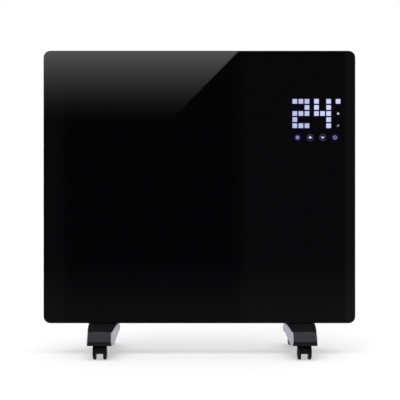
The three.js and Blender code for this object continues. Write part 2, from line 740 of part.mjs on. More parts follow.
function terminalBlock() {
  const back = powerBoardFront - SEAT_GAP;
  const front = back - TERMINAL_DEPTH;
  const z = powerBoardZ[0] + POST_INSET + TERMINAL_HEIGHT;
  const body = block(about(boxMiddle, TERMINAL_WIDTH), [front, back], about(z, TERMINAL_HEIGHT));
  const pitch = TERMINAL_WIDTH / TERMINAL_WAYS;
  const holes = row(boxMiddle, TERMINAL_WIDTH - pitch, pitch).map((x) =>
    block(about(x, TERMINAL_HOLE), [front - OVERRUN, (front + back) / 2], about(z, TERMINAL_HOLE)),
  );
  return cut(body, holes);
}

// Heating element and what watches over it

/** The element: a round core with two crossed fins along it and a pin at each end. */
function heatingElement() {
  const length = [-elementHalf, elementHalf];
  const core = bar("x", ELEMENT_CORE_RADIUS, length, [housingMiddleY, elementAxisZ], SMALL_SIDES);
  const pins = bar(
    "x",
    ELEMENT_PIN_RADIUS,
    about(0, 2 * (elementHalf + ELEMENT_PIN_LENGTH)),
    [housingMiddleY, elementAxisZ],
    SMALL_SIDES,
  );
  const fins = [-1, 1].map((side) => {
    const geometry = new THREE.BoxGeometry(2 * elementHalf, ELEMENT_FIN_THICKNESS, ELEMENT_FIN_SPAN);
    geometry.rotateX(THREE.MathUtils.degToRad(side * ELEMENT_FIN_DEGREES));
    geometry.translate(0, housingMiddleY, elementAxisZ);
    return solid(geometry);
  });
  return join([core, pins, ...fins]);
}

const endCapX = elementHalf + SEAT_GAP;
const bracketX = endCapX + END_CAP_LENGTH + SEAT_GAP;
const mirrored = ([from, to], side) => (side > 0 ? [from, to] : [-to, -from]);

function elementEndCap(side) {
  const span = mirrored([endCapX, endCapX + END_CAP_LENGTH], side);
  const bore = mirrored([endCapX - OVERRUN, endCapX + ELEMENT_PIN_LENGTH + SEAT_GAP], side);
  return cut(block(span, about(housingMiddleY, END_CAP_SIZE), about(elementAxisZ, END_CAP_SIZE)), [
    bar("x", ELEMENT_PIN_RADIUS + PIN_PLAY, bore, [housingMiddleY, elementAxisZ], SMALL_SIDES),
  ]);
}

/** A bracket: a cheek beside the end cap, bent over onto the back of the housing. */
function elementBracket(side) {
  const back = innerBack - SEAT_GAP;
  const height = about(elementAxisZ, BRACKET_HEIGHT);
  const cheek = mirrored([bracketX, bracketX + BRACKET_THICKNESS], side);
  const flange = mirrored([bracketX, bracketX + BRACKET_FLANGE], side);
  return join([
    block(cheek, [housingMiddleY - END_CAP_SIZE / 2, back], height),
    block(flange, [back - BRACKET_THICKNESS, back], height),
  ]);
}

const shieldFront = frameBack + SEAT_GAP;
const shieldBack = shieldFront + SHIELD_THICKNESS;

const heatShield = () =>
  block(
    [SHIELD_MARGIN - innerSide, boxLeft - SHIELD_TO_BOX],
    [shieldFront, shieldBack],
    [innerBottom + SHIELD_MARGIN, innerTop - SHIELD_MARGIN],
  );

function thermalCutout() {
  const profile = [
    [0, 0],
    [CUTOUT_RADIUS, 0],
    [CUTOUT_RADIUS, CUTOUT_BASE_DEPTH],
    [CUTOUT_CAP_RADIUS, CUTOUT_BASE_DEPTH],
    [CUTOUT_CAP_RADIUS, CUTOUT_BASE_DEPTH + CUTOUT_CAP_DEPTH],
    [0, CUTOUT_BASE_DEPTH + CUTOUT_CAP_DEPTH],
  ];
  const place = [boxLeft - CUTOUT_TO_BOX, shieldBack + SEAT_GAP, housingBottom + CUTOUT_RAISE];
  return turned("y", profile, place, ROUND_SIDES);
}

// Tip-over switch

const tipX = TIP_SWITCH_FROM_SIDE - housingSide;
const tipBase = innerBottom + SEAT_GAP;
const tipPinZ = tipBase + TIP_PIN_HEIGHT;
const tipEarInner = TIP_EYE_WIDTH / 2 + TIP_EAR_PLAY;

/** The switch's stand: a base with two ears and the pin across them. */
function tipSwitchStand() {
  const base = block(
    about(tipX, TIP_BASE_LENGTH),
    about(housingMiddleY, TIP_BASE_WIDTH),
    [tipBase, tipBase + TIP_BASE_THICKNESS],
  );
  const ears = [-1, 1].map((side) => {
    const [from, to] = mirrored([tipEarInner, tipEarInner + TIP_EAR_THICKNESS], side);
    return block(
      [tipX + from, tipX + to],
      about(housingMiddleY, TIP_EAR_WIDTH),
      [tipBase, tipPinZ + TIP_EYE_RADIUS],
    );
  });
  const pin = bar(
    "x",
    TIP_PIN_RADIUS,
    about(tipX, 2 * tipEarInner + TIP_EAR_THICKNESS),
    [housingMiddleY, tipPinZ],
    SMALL_SIDES,
  );
  return join([base, ...ears, pin]);
}

/** The hanging weight: an eye round the pin, an arm and a drum. */
function tipSwitchWeight() {
  const width = about(tipX, TIP_EYE_WIDTH);
  const weightZ = tipPinZ - TIP_ARM_LENGTH;
  const eye = bar("x", TIP_EYE_RADIUS, width, [housingMiddleY, tipPinZ], SMALL_SIDES);
  const arm = block(width, about(housingMiddleY, TIP_ARM_THICKNESS), [weightZ, tipPinZ]);
  const weight = bar("x", TIP_WEIGHT_RADIUS, width, [housingMiddleY, weightZ], ROUND_SIDES);
  const bore = bar(
    "x",
    TIP_PIN_RADIUS + PIN_PLAY,
    about(tipX, TIP_EYE_WIDTH + 2 * OVERRUN),
    [housingMiddleY, tipPinZ],
    SMALL_SIDES,
  );
  return cut(join([eye, arm, weight]), [bore]);
}

function roomSensor() {
  const x = footX(1) - SENSOR_TO_FOOT;
  const bottom = innerBottom + SEAT_GAP;
  return join([
    block(
      about(x, SENSOR_BASE_SIZE),
      about(housingMiddleY, SENSOR_BASE_SIZE),
      [bottom, bottom + SENSOR_BASE_THICKNESS],
    ),
    bar("z", SENSOR_RADIUS, [bottom, bottom + SENSOR_HEIGHT], [x, housingMiddleY], SMALL_SIDES),
  ]);
}

// Mains switch and cord gland

const switchZ = housingBottom + SWITCH_RAISE;
const bezelOuter = housingSide + SEAT_GAP + SWITCH_BEZEL_THICKNESS;
const rockerAxisX = bezelOuter - ROCKER_WING;
const mouthHeight = SWITCH_BODY_HEIGHT - 2 * SWITCH_END_WALL;
const mouthWidth = SWITCH_BODY_WIDTH - 2 * SWITCH_SIDE_WALL;

/** The switch body: a bezel on the side wall, a box through it, and a pin across its mouth. */
function switchBody() {
  const bezel = block(
    [housingSide + SEAT_GAP, bezelOuter],
    about(housingMiddleY, SWITCH_BODY_WIDTH + 2 * SWITCH_BEZEL_RIM),
    about(switchZ, SWITCH_BODY_HEIGHT + 2 * SWITCH_BEZEL_RIM),
  );
  const box = block(
    [housingSide - SWITCH_BODY_DEPTH, bezelOuter],
    about(housingMiddleY, SWITCH_BODY_WIDTH),
    about(switchZ, SWITCH_BODY_HEIGHT),
  );
  const mouth = block(
    [bezelOuter - SWITCH_MOUTH_DEPTH, bezelOuter + OVERRUN],
    about(housingMiddleY, mouthWidth),
    about(switchZ, mouthHeight),
  );
  const pin = bar(
    "y",
    ROCKER_PIN_RADIUS,
    about(housingMiddleY, (mouthWidth + SWITCH_BODY_WIDTH) / 2),
    [rockerAxisX, switchZ],
    SMALL_SIDES,
  );
  return cut(join([bezel, box]), [mouth]).add(pin);
}

/** The rocker, pressed in at its lower end: a hollow-topped bar with a belly, turned about its pin. */
function switchRocker() {
  const half = mouthHeight / 2 - ROCKER_END_PLAY;
  const outline = [
    [0, ROCKER_DIP],
    [-half, ROCKER_WING],
    [-half, ROCKER_END_DEPTH],
    [-ROCKER_HEEL, -ROCKER_BELLY],
    [ROCKER_HEEL, -ROCKER_BELLY],
    [half, ROCKER_END_DEPTH],
    [half, ROCKER_WING],
  ];
  const tilt = THREE.MathUtils.degToRad(ROCKER_TILT_DEGREES);
  const tilted = outline.map(([along, out]) => [
    switchZ + along * Math.cos(tilt) - out * Math.sin(tilt),
    rockerAxisX + out * Math.cos(tilt) + along * Math.sin(tilt),
  ]);
  const bore = bar(
    "y",
    ROCKER_PIN_RADIUS + PIN_PLAY,
    about(housingMiddleY, mouthWidth + 2 * OVERRUN),
    [rockerAxisX, switchZ],
    SMALL_SIDES,
  );
  return cut(prism("y", tilted, about(housingMiddleY, mouthWidth - 2 * SEAT_GAP)), [bore]);
}

const glandX = housingSide - GLAND_FROM_SIDE;

/** The gland: a flanged sleeve through the back of the housing. */
function cordGland() {
  const flange = housingBack + SEAT_GAP;
  const profile = [
    [GLAND_BORE_RADIUS, flange - GLAND_NECK_LENGTH],
    [GLAND_BODY_RADIUS, flange - GLAND_NECK_LENGTH],
    [GLAND_BODY_RADIUS, flange],
    [GLAND_FLANGE_RADIUS, flange],
    [GLAND_FLANGE_RADIUS, flange + GLAND_FLANGE_THICKNESS],
    [GLAND_BODY_RADIUS, flange + GLAND_FLANGE_THICKNESS],
    [GLAND_NOSE_RADIUS, flange + GLAND_FLANGE_THICKNESS + GLAND_NOSE_LENGTH],
    [GLAND_BORE_RADIUS, flange + GLAND_FLANGE_THICKNESS + GLAND_NOSE_LENGTH],
    [GLAND_BORE_RADIUS, flange - GLAND_NECK_LENGTH],
  ];
  return turned("y", profile, [glandX, 0, housingBottom + GLAND_RAISE], ROUND_SIDES);
}

// Feet. The solids of a foot are made about x = 0 and moved to their side in a group.

const footX = (side) => FEET_SHIFT + (side * feetSpacing) / 2;
const footScrewPlaces = () => about(SADDLE_BACK, FOOT_SCREW_SPACING);

/** How far the end of the foot stands from its middle at a level, from 0 at the bottom to 1 at the top. */
function noseReach(level) {
  if (level < NOSE_LEVEL_SHARE) return footHalf - FOOT_NOSE_UNDERCUT * (1 - level / NOSE_LEVEL_SHARE);
  return footHalf - (FOOT_NOSE_LEAN * (level - NOSE_LEVEL_SHARE)) / (1 - NOSE_LEVEL_SHARE);
}

/** The underside, top and half width of the foot at a place along it. */
function footSection(y) {
  const place = Math.min(Math.abs(y) / footHalf, 1);
  return {
    bottom: footBottom + smoothShare(FOOT_ARCH_SHARES, place) * FOOT_ARCH,
    top: footNoseTop + smoothShare(FOOT_TOP_SHARES, place) * FOOT_NOSE_DROP,
    half: (smoothShare(y < 0 ? FRONT_PLAN_SHARES : REAR_PLAN_SHARES, place) * FOOT_WIDTH) / 2,
  };
}

/** A point of the flank, at a share of the length and a level, moved inwards by an inset. */
function flankPoint(share, level, inset) {
  const reach = noseReach(level);
  const y = -reach + 2 * reach * share;
  const { bottom, top, half } = footSection(y);
  const lean = 1 - (1 - FOOT_TOP_WIDTH_SHARE) * level;
  return [half * lean - inset, y, bottom + (top - bottom) * level];
}

const stationShares = [
  ...FOOT_STATION_SHARES,
  ...FOOT_STATION_SHARES.slice(0, -1)
    .map((share) => 1 - share)
    .reverse(),
];

/** The whole outside of a foot, flanks, crowned top and underside. */
function footBody() {
  return loft(
    stationShares.map((share) => {
      const flank = FLANK_LEVEL_SHARES.map((level) => flankPoint(share, level, 0));
      const [x, y, z] = flank[flank.length - 1];
      const crown = CROWN_PLACE_SHARES.map((place) => [x * place, y, z + FOOT_CROWN * (1 - place * place)]);
      const other = flank.map(([fx, fy, fz]) => [-fx, fy, fz]).reverse();
      return [...flank, ...crown, ...other];
    }),
  );
}

/** The share of the length where the side covers end, and the stations between. */
const trimEndShare = TRIM_SETBACK / FOOT_LENGTH;
const trimShares = (endShare) => [
  endShare,
  ...stationShares.filter((share) => share > endShare && share < 1 - endShare),
  1 - endShare,
];

/** A skin on the flank of one side, between two insets from it. Its lower and upper edges stand off those
 * of the flank by the two values of edges. */
function flankSkin(side, inner, outer, bulge, endShare, edges) {
  const corner = (share, level, inset) => {
    const [x, y, z] = flankPoint(share, level, inset);
    return [side * x, y, level === 0 ? z + edges[0] : level === 1 ? z + edges[1] : z];
  };
  return loft(
    trimShares(endShare).map((share) => [
      ...FLANK_LEVEL_SHARES.map((level) => corner(share, level, outer - bulge * 4 * level * (1 - level))),
      ...FLANK_LEVEL_SHARES.map((level) => corner(share, level, inner)).reverse(),
    ]),
  );
}

/** A side cover of the foot. */
const footTrim = (side) =>
  flankSkin(side, TRIM_THICKNESS, 0, TRIM_BULGE, trimEndShare, [0, -TRIM_TO_TOP]);

/** The room that a side cover takes from the foot's body, with the gap round it. */
const trimRoom = (side) =>
  flankSkin(
    side,
    TRIM_THICKNESS + SEAT_GAP,
    -OVERRUN,
    0,
    trimEndShare - SEAT_GAP / FOOT_LENGTH,
    [-OVERRUN, SEAT_GAP - TRIM_TO_TOP],
  );

/** The hollow of the moulding, open below. */
function footHollow() {
  const inset = TRIM_THICKNESS + SEAT_GAP + FOOT_WALL;
  const endShare = (FOOT_WALL + TRIM_SETBACK) / FOOT_LENGTH;
  return loft(
    trimShares(endShare).map((share) => {
      const [xLow, yLow, zLow] = flankPoint(share, 0, inset);
      const [xHigh, yHigh, zHigh] = flankPoint(share, 1, inset);
      return [
        [xLow, yLow, zLow - OVERRUN],
        [xHigh, yHigh, zHigh - FOOT_WALL],
        [-xHigh, yHigh, zHigh - FOOT_WALL],
        [-xLow, yLow, zLow - OVERRUN],
      ];
    }),
  );
}

/** The saddle that carries the housing: a block on the foot with ends that lean in. */
function footSaddle() {
  const top = housingBottom - SEAT_GAP;
  const foot = footTop - FOOT_WALL;
  const [y0, y1] = about(SADDLE_BACK, SADDLE_LENGTH);
  const outline = [
    [y0, foot],
    [y1, foot],
    [y1 - SADDLE_SLOPE, top],
    [y0 + SADDLE_SLOPE, top],
  ];
  return prism("x", outline, about(0, FOOT_WIDTH - 2 * SADDLE_TO_FLANK));
}

/** The dark moulding of a foot: a hollow arch with ribs, screw bosses, caster sockets and the saddle. */
function footCore() {
  const tall = [0, housingBottom];
  const across = about(0, FOOT_WIDTH);
  const ribs = FOOT_RIB_SHARES.map((share) =>
    block(across, about(share * footHalf, FOOT_RIB_WIDTH), tall),
  );
  const spine = block(about(0, FOOT_RIB_WIDTH), about(0, FOOT_LENGTH), tall);
  const screwBosses = footScrewPlaces().map((y) =>
    bar("z", FOOT_SCREW_BOSS_RADIUS, tall, [0, y], SMALL_SIDES),
  );
  const sockets = [-swivelY, swivelY].map((y) =>
    bar("z", STEM_RADIUS + PIN_PLAY + SOCKET_WALL, tall, [0, y], SMALL_SIDES),
  );
  const hollow = cut(footHollow(), [...ribs, spine, ...screwBosses, ...sockets]);
  const seat = footSection(0).bottom + FOOT_SCREW_SEAT_DEPTH;
  const screwCuts = footScrewPlaces().flatMap((y) => [
    bar("z", FOOT_SCREW_HEAD_RADIUS + SEAT_GAP, [0, seat], [0, y], SMALL_SIDES),
    bar("z", FOOT_SCREW_RADIUS + SEAT_GAP, [0, housingBottom], [0, y], SMALL_SIDES),
  ]);
  const stemBores = [-swivelY, swivelY].map((y) =>
    bar("z", STEM_RADIUS + PIN_PLAY, [0, stemTop + SEAT_GAP], [0, y], ROUND_SIDES),
  );
  const body = footBody().add(footSaddle());
  return cut(body, [hollow, trimRoom(-1), trimRoom(1), ...screwCuts, ...stemBores]);
}

/** A screw from below through the saddle into the housing. */
function footScrew(y) {
  const seat = footSection(0).bottom + FOOT_SCREW_SEAT_DEPTH - SEAT_GAP;
  const profile = [
    [0, seat - FOOT_SCREW_HEAD_HEIGHT],
    [FOOT_SCREW_HEAD_RADIUS, seat - FOOT_SCREW_HEAD_HEIGHT],
    [FOOT_SCREW_HEAD_RADIUS, seat],
    [FOOT_SCREW_RADIUS, seat],
    [FOOT_SCREW_RADIUS, housingBottom + FOOT_SCREW_PROUD],
    [0, housingBottom + FOOT_SCREW_PROUD],
  ];
  return turned("z", profile, [0, y, 0], SMALL_SIDES);
}

// Casters. They are made about the swivel's axis, with the axle towards -Y.

const axleY = -SWIVEL_TRAIL;
const webHalf = HOOD_WEB_WIDTH / 2;

/** A wheel on the side given, its hub closed outside and bored from inside. */
function casterWheel(side) {
  const outer = wheelsOverall / 2;
  const inner = outer - WHEEL_WIDTH;
  const rim = WHEEL_RADIUS * facetStretch;
  const cutBack = WHEEL_EDGE_RADIUS * (1 - Math.SQRT1_2);
  const profile = [
    [0, outer],
    [rim - WHEEL_EDGE_RADIUS, outer],
    [rim - cutBack, outer - cutBack],
    [rim, outer - WHEEL_EDGE_RADIUS],
    [rim, inner],
    [AXLE_RADIUS + PIN_PLAY, inner],
    [AXLE_RADIUS + PIN_PLAY, inner + AXLE_IN_WHEEL + SEAT_GAP],
    [0, inner + AXLE_IN_WHEEL + SEAT_GAP],
  ].map(([radius, x]) => [radius, side * x]);
  return turned("x", profile, [0, axleY, WHEEL_RADIUS], FINE_SIDES);
}

function casterAxle() {
  const reach = wheelsOverall / 2 - WHEEL_WIDTH + AXLE_IN_WHEEL;
  return bar("x", AXLE_RADIUS, [-reach, reach], [axleY, WHEEL_RADIUS], SMALL_SIDES);
}

/** The hood: a web between the wheels, a rim over them, a boss for the stem and the swivel plate. */
function casterHood() {
  const inner = hoodInnerRadius;
  const outer = inner + HOOD_WALL;
  const axle = [axleY, WHEEL_RADIUS];
  const whole = about(0, wheelsOverall);
  const web = about(0, HOOD_WEB_WIDTH);
  const wide = about(0, wheelsOverall + 2 * OVERRUN);
  const below = (z) => block(wide, about(axleY, 2 * outer + 2 * OVERRUN), [-outer, z]);
  const rim = cut(bar("x", outer, whole, axle, FINE_SIDES), [
    bar("x", inner, wide, axle, FINE_SIDES),
    below(WHEEL_RADIUS + HOOD_RIM_RAISE),
  ]);
  const disc = cut(bar("x", (inner + outer) / 2, web, axle, FINE_SIDES), [
    below(WHEEL_RADIUS + HOOD_WEB_RAISE),
  ]);
  const axleBoss = bar("x", AXLE_BOSS_RADIUS, web, axle, ROUND_SIDES);
  const boss = bar("z", webHalf, [stemRoot - HOOD_WALL, swivelPlateTop], [0, 0], ROUND_SIDES);
  const plate = bar(
    "z",
    SWIVEL_PLATE_RADIUS,
    [swivelPlateTop - SWIVEL_PLATE_THICKNESS, swivelPlateTop],
    [0, 0],
    ROUND_SIDES,
  );
  const room = [1, -1].map((side) =>
    bar("x", inner, mirrored([webHalf, wheelsOverall / 2 + OVERRUN], side), axle, FINE_SIDES),
  );
  return cut(join([rim, disc, axleBoss, boss, plate]), [
    ...room,
    bar("z", STEM_RADIUS + PIN_PLAY, [stemRoot, swivelPlateTop + OVERRUN], [0, 0], ROUND_SIDES),
    bar("x", AXLE_RADIUS + PIN_PLAY, wide, axle, SMALL_SIDES),
  ]);
}

const casterStem = () =>
  bar("z", STEM_RADIUS, [stemRoot + SEAT_GAP, stemTop], [0, 0], ROUND_SIDES);

// The assembly

function casterGroup(end, footSide, footName) {
  const name = `${end < 0 ? "front" : "rear"}_${footName}`;
  const group = new THREE.Group();
  group.add(piece(`caster_hood_${name}`, casterHood(), materials.blackPlastic));
  group.add(piece(`caster_stem_${name}`, casterStem(), materials.zinc));
  group.add(piece(`caster_axle_${name}`, casterAxle(), materials.zinc));
  for (const side of [-1, 1]) {
    const place = side * end * footSide < 0 ? "outer" : "inner";
    group.add(piece(`caster_wheel_${place}_${name}`, casterWheel(side), materials.rubber));
  }
  group.rotation.z = end < 0 ? 0 : Math.PI;
  group.position.y = end * swivelY;
  return group;
}

function footGroup(side, name) {
  const group = new THREE.Group();
  group.add(piece(`foot_core_${name}`, footCore(), materials.blackPlastic));
  group.add(piece(`foot_trim_inner_${name}`, footTrim(-side), materials.silver));
  group.add(piece(`foot_trim_outer_${name}`, footTrim(side), materials.silver));
  footScrewPlaces().forEach((y, i) => {
    group.add(piece(`foot_screw_${i ? "rear" : "front"}_${name}`, footScrew(y), materials.zinc));
  });
  for (const end of [-1, 1]) group.add(casterGroup(end, side, name));
  group.position.x = footX(side);
  return group;
}

const TOUCH_KEYS = ["mode", "up", "down", "power"];

const heater = new THREE.Group();
heater.add(
  piece("glass_panel", glassPanel(), materials.glass),
  piece("panel_frame", panelFrame(), materials.steel),
  piece("rear_housing", rearHousing(), materials.steel),
  piece("outlet_grille", outletGrille(), materials.steel),
  piece("light_guide", lightGuide(), materials.whitePlastic),
  piece("display_board", displayBoard(), materials.board),
  ...TOUCH_KEYS.map((key, i) => piece(`touch_spring_${key}`, touchSpring(i), materials.copper)),
  piece("control_box", controlBox(), materials.blackPlastic),
  piece("power_board", powerBoard(), materials.board),
  piece("relay", relay(), materials.relayBlue),
  piece("terminal_block", terminalBlock(), materials.whitePlastic),
  piece("heating_element", heatingElement(), materials.aluminium),
  piece("element_end_cap_left", elementEndCap(-1), materials.ceramic),
  piece("element_end_cap_right", elementEndCap(1), materials.ceramic),
  piece("element_bracket_left", elementBracket(-1), materials.zinc),
  piece("element_bracket_right", elementBracket(1), materials.zinc),
  piece("heat_shield", heatShield(), materials.zinc),
  piece("thermal_cutout", thermalCutout(), materials.blackPlastic),
  piece("tip_switch_stand", tipSwitchStand(), materials.blackPlastic),
  piece("tip_switch_weight", tipSwitchWeight(), materials.zinc),
  piece("room_sensor", roomSensor(), materials.whitePlastic),
  piece("switch_body", switchBody(), materials.blackPlastic),
  piece("switch_rocker", switchRocker(), materials.blackPlastic),
  piece("cord_gland", cordGland(), materials.blackPlastic),
  footGroup(-1, "left"),
  footGroup(1, "right"),
);

export default heater;
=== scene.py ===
"""An electric panel heater: black glass front with lit digits, coated steel back, two feet on casters."""

import json
import math

import bmesh
import bpy
import numpy as np
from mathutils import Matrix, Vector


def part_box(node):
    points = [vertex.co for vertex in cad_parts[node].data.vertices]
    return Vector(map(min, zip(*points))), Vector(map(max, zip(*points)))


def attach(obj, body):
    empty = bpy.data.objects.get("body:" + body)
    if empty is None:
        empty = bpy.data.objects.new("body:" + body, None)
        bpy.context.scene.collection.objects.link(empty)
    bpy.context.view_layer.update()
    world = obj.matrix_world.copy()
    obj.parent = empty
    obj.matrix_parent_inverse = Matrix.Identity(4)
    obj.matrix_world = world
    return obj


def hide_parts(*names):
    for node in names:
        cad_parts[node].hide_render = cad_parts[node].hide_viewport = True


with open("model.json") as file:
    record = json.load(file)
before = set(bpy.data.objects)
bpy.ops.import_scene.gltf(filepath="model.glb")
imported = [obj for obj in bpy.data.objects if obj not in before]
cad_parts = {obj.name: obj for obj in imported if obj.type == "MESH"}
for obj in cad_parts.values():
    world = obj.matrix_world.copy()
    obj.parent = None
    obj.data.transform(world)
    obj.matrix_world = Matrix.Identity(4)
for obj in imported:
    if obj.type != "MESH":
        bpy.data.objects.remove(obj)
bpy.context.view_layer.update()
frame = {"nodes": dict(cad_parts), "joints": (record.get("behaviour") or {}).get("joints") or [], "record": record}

MM = 0.001

# The photograph's view: a level camera in front of the glass, a little left of its middle
CAMERA_PLACE = (-0.0103, -1.934, 0.2557)
CAMERA_LENS = 106.69  # for a 36 mm wide sensor
CAMERA_SHIFT = (0.0175, -0.0125)

# Lit field of the glass, in mm, with its places from the right and top edges
CELL = 7.45
CELL_PITCH = 9.75
DIGIT_PITCH = 34.7
DIGIT_FROM_RIGHT = 97.1
DIGIT_FROM_TOP = 81.2
DEGREE_FROM_RIGHT = 27.8
TOUCH_FROM_RIGHT = {"mode": 92.7, "up": 72.5, "down": 52.4, "power": 32.7}
TOUCH_FROM_TOP = 139.1
PRINT_PROUD = 0.05  # the lit print stands this far in front of the glass
PRINT_SUNK = 0.02  # and its back lies this far behind the face
DIGIT_LEVELS = (0.88, 1.04)  # the left digit is a little dimmer
DIGITS = (
    ("111", "001", "111", "100", "111"),
    ("101", "101", "111", "001", "001"),
)
CELL_WAVER = 0.05  # in the level, as no two cells are quite alike
CELL_GLOW_INSET = 0.1  # the glow round a cell starts this far inside its edge
CELL_GLOW_GAP = 0.03  # and ends this far before the next cell's
CELL_GLOW_PROUD = 0.02
LAMP_FROM_RIGHT = 27.7
ROUND_LAMP_FROM_TOP = 100.8
ROUND_LAMP_RADIUS = 1.9
SLANTED_LAMP_FROM_TOP = 120.2
SLANTED_LAMP_RADIUS = 2.15
SLANTED_LAMP_SQUASH = 0.95  # its height over its width
SLANTED_LAMP_SLANT = 0.42  # its lean over its height
MODE_HOLE_RADIUS = 1.7
MODE_RIM_RADIUS = 2.6
MODE_TOOTH = 0.5
MODE_TEETH = 8
MODE_SIDES = 96
UP_ARROW = {"half_width": 3.4, "height": 4.9}
DOWN_ARROW = {"half_width": 3.5, "height": 4.5}
UP_ARROW_RAISE = 0.1
KEY_RING_RADII = (4.7, 5.5)
POWER_RING_RADIUS = 2.4
POWER_RING_WIDTH = 1.1
POWER_RING_OPENING = 0.55  # half of it, in radians
POWER_BAR_ENDS = (1.2, 3.8)
POWER_BAR_WIDTH = 1.0
POWER_LEVEL = 0.6
BAND_EDGE = 0.15  # share of a band's width in which it rises or falls

# Rings of each patch, as shares of its outline, and the glow at each
CELL_RINGS = (0.5, 0.9, 0.985, 1)
CELL_LEVELS = (1, 1.02, 0.9, 0)
ROUND_LAMP_RINGS = (0.5, 0.85, 1)
ROUND_LAMP_LEVELS = (0.85, 0.75, 0.25)
SLANTED_LAMP_RINGS = (0.45, 0.8, 1)
SLANTED_LAMP_LEVELS = (0.3, 0.25, 0.09)
ARROW_RINGS = (0.5, 0.9, 1)
UP_ARROW_LEVELS = (1.0, 0.9, 0.5)
DOWN_ARROW_LEVELS = (0.85, 0.8, 0.5)

# Glow at the four corners of each band's section, from its inner rim outwards
CELL_GLOW_LEVELS = (0.1, 0.1, 0.04, 0)
MODE_LEVELS = (0.8, 1.1, 1.0, 0.4)
KEY_RING_LEVELS = (0.07, 0.11, 0.11, 0.07)

# Radius and level of the soft light round each mark
HALOS = {
    "mode": (7.4, 0.22),
    "up": (4.7, 0.02),
    "down": (4.7, 0.06),
    "power": (7.4, 0.2),
    "round_lamp": (4.2, 0.1),
    "slanted_lamp": (3.4, 0.04),
}

FEET = {"left": -1, "right": 1}  # and the way from the middle to each
ENDS = ("front", "rear")


def linear(red, green, blue):
    """The scene-linear colour of a display colour: each channel over 255, through the sRGB curve."""
    share = np.array([red, green, blue], dtype=float) / 255
    low = share / 12.92
    high = ((share + 0.055) / 1.055) ** 2.4
    return (*np.where(share <= 0.04045, low, high).tolist(), 1.0)


# Finishes

# The leaning face at each end of a foot, whose colour is painted paler as painted light, lies beyond these
# distances from the middle and the floor
FOOT_LOW, FOOT_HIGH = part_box("foot_core_left")
END_FACE_Y = FOOT_HIGH[1] - 9.2 * MM
END_FACE_Z = FOOT_LOW[2] + 7 * MM
END_FACE_BLEND = 0.2 * MM

FOOT_MATT = linear(18, 18, 20)
FOOT_MATT_ROUGHNESS = 0.62
# Painted light: this paler colour of the end faces stands for the light falling on them; the moulding is one black
# plastic, and only the smoother satin gloss is its own
FOOT_FACE_PAINTED_LIGHT = linear(46, 46, 51)
FOOT_SATIN_ROUGHNESS = 0.4
PRINT_BLACK = linear(3, 2, 4)
GLASS_IOR = 1.5


def new_finish(name, color, roughness, metallic=0.0):
    """A principled material whose plain values sit on the shader's own sockets."""
    material = bpy.data.materials.new(name)
    material.use_nodes = True
    shader = material.node_tree.nodes["Principled BSDF"]
    shader.inputs["Base Color"].default_value = color
    shader.inputs["Roughness"].default_value = roughness
    shader.inputs["Metallic"].default_value = metallic
    return material, material.node_tree.nodes, material.node_tree.links, shader


def object_place(nodes, links, stretch=(1, 1, 1)):
    """Object coordinates, stretched along each axis."""
    place = nodes.new("ShaderNodeTexCoord")
    mapping = nodes.new("ShaderNodeMapping")
    mapping.inputs["Scale"].default_value = stretch
    links.new(place.outputs["Object"], mapping.inputs["Vector"])
    return mapping.outputs["Vector"]


def noise(nodes, links, where, scale, detail=3.0):
    """A noise pattern with its features about one over the scale apart, in metres."""
    texture = nodes.new("ShaderNodeTexNoise")
    texture.inputs["Scale"].default_value = scale
    texture.inputs["Detail"].default_value = detail
    links.new(where, texture.inputs["Vector"])
    return texture.outputs["Fac"]


def spread(nodes, links, value, low, high, start=0.3, end=0.7):
    """Spreads a pattern's values between start and end over the range from low to high."""
    fit = nodes.new("ShaderNodeMapRange")
    fit.inputs["From Min"].default_value = start
    fit.inputs["From Max"].default_value = end
    fit.inputs["To Min"].default_value = low
    fit.inputs["To Max"].default_value = high
    links.new(value, fit.inputs["Value"])
    return fit.outputs["Result"]


def tint(nodes, links, value, first, second):
    """A colour between two, by a pattern's value."""
    ramp = nodes.new("ShaderNodeMix")
    ramp.data_type = "RGBA"
    ramp.inputs["A"].default_value = first
    ramp.inputs["B"].default_value = second
    links.new(value, ramp.inputs["Factor"])
    return ramp.outputs["Result"]


def relief(nodes, links, shader, value, strength, depth):
    """Raises the surface by a pattern, at most by the depth in metres."""
    bump = nodes.new("ShaderNodeBump")
    bump.inputs["Strength"].default_value = strength
    bump.inputs["Distance"].default_value = depth
    links.new(value, bump.inputs["Height"])
    links.new(bump.outputs["Normal"], shader.inputs["Normal"])


def moulded_plastic(name, color, roughness, grain=1900, depth=0.00012, specular=0.5):
    """Moulded plastic with a spark-eroded grain, slight flow streaks and handling sheen."""
    material, nodes, links, shader = new_finish(name, color, roughness)
    shader.inputs["Specular IOR Level"].default_value = specular
    where = object_place(nodes, links)
    fine = noise(nodes, links, where, grain, 2.0)
    broad = noise(nodes, links, where, 28, 4.0)
    darker = tuple(0.82 * c for c in color[:3]) + (1.0,)
    lighter = tuple(min(1.18 * c, 1.0) for c in color[:3]) + (1.0,)
    streaks = tint(nodes, links, spread(nodes, links, broad, 0, 1), darker, lighter)
    links.new(streaks, shader.inputs["Base Color"])
    sheen = spread(nodes, links, broad, roughness - 0.05, roughness + 0.07)
    links.new(sheen, shader.inputs["Roughness"])
    relief(nodes, links, shader, fine, 0.35, depth)
    return material


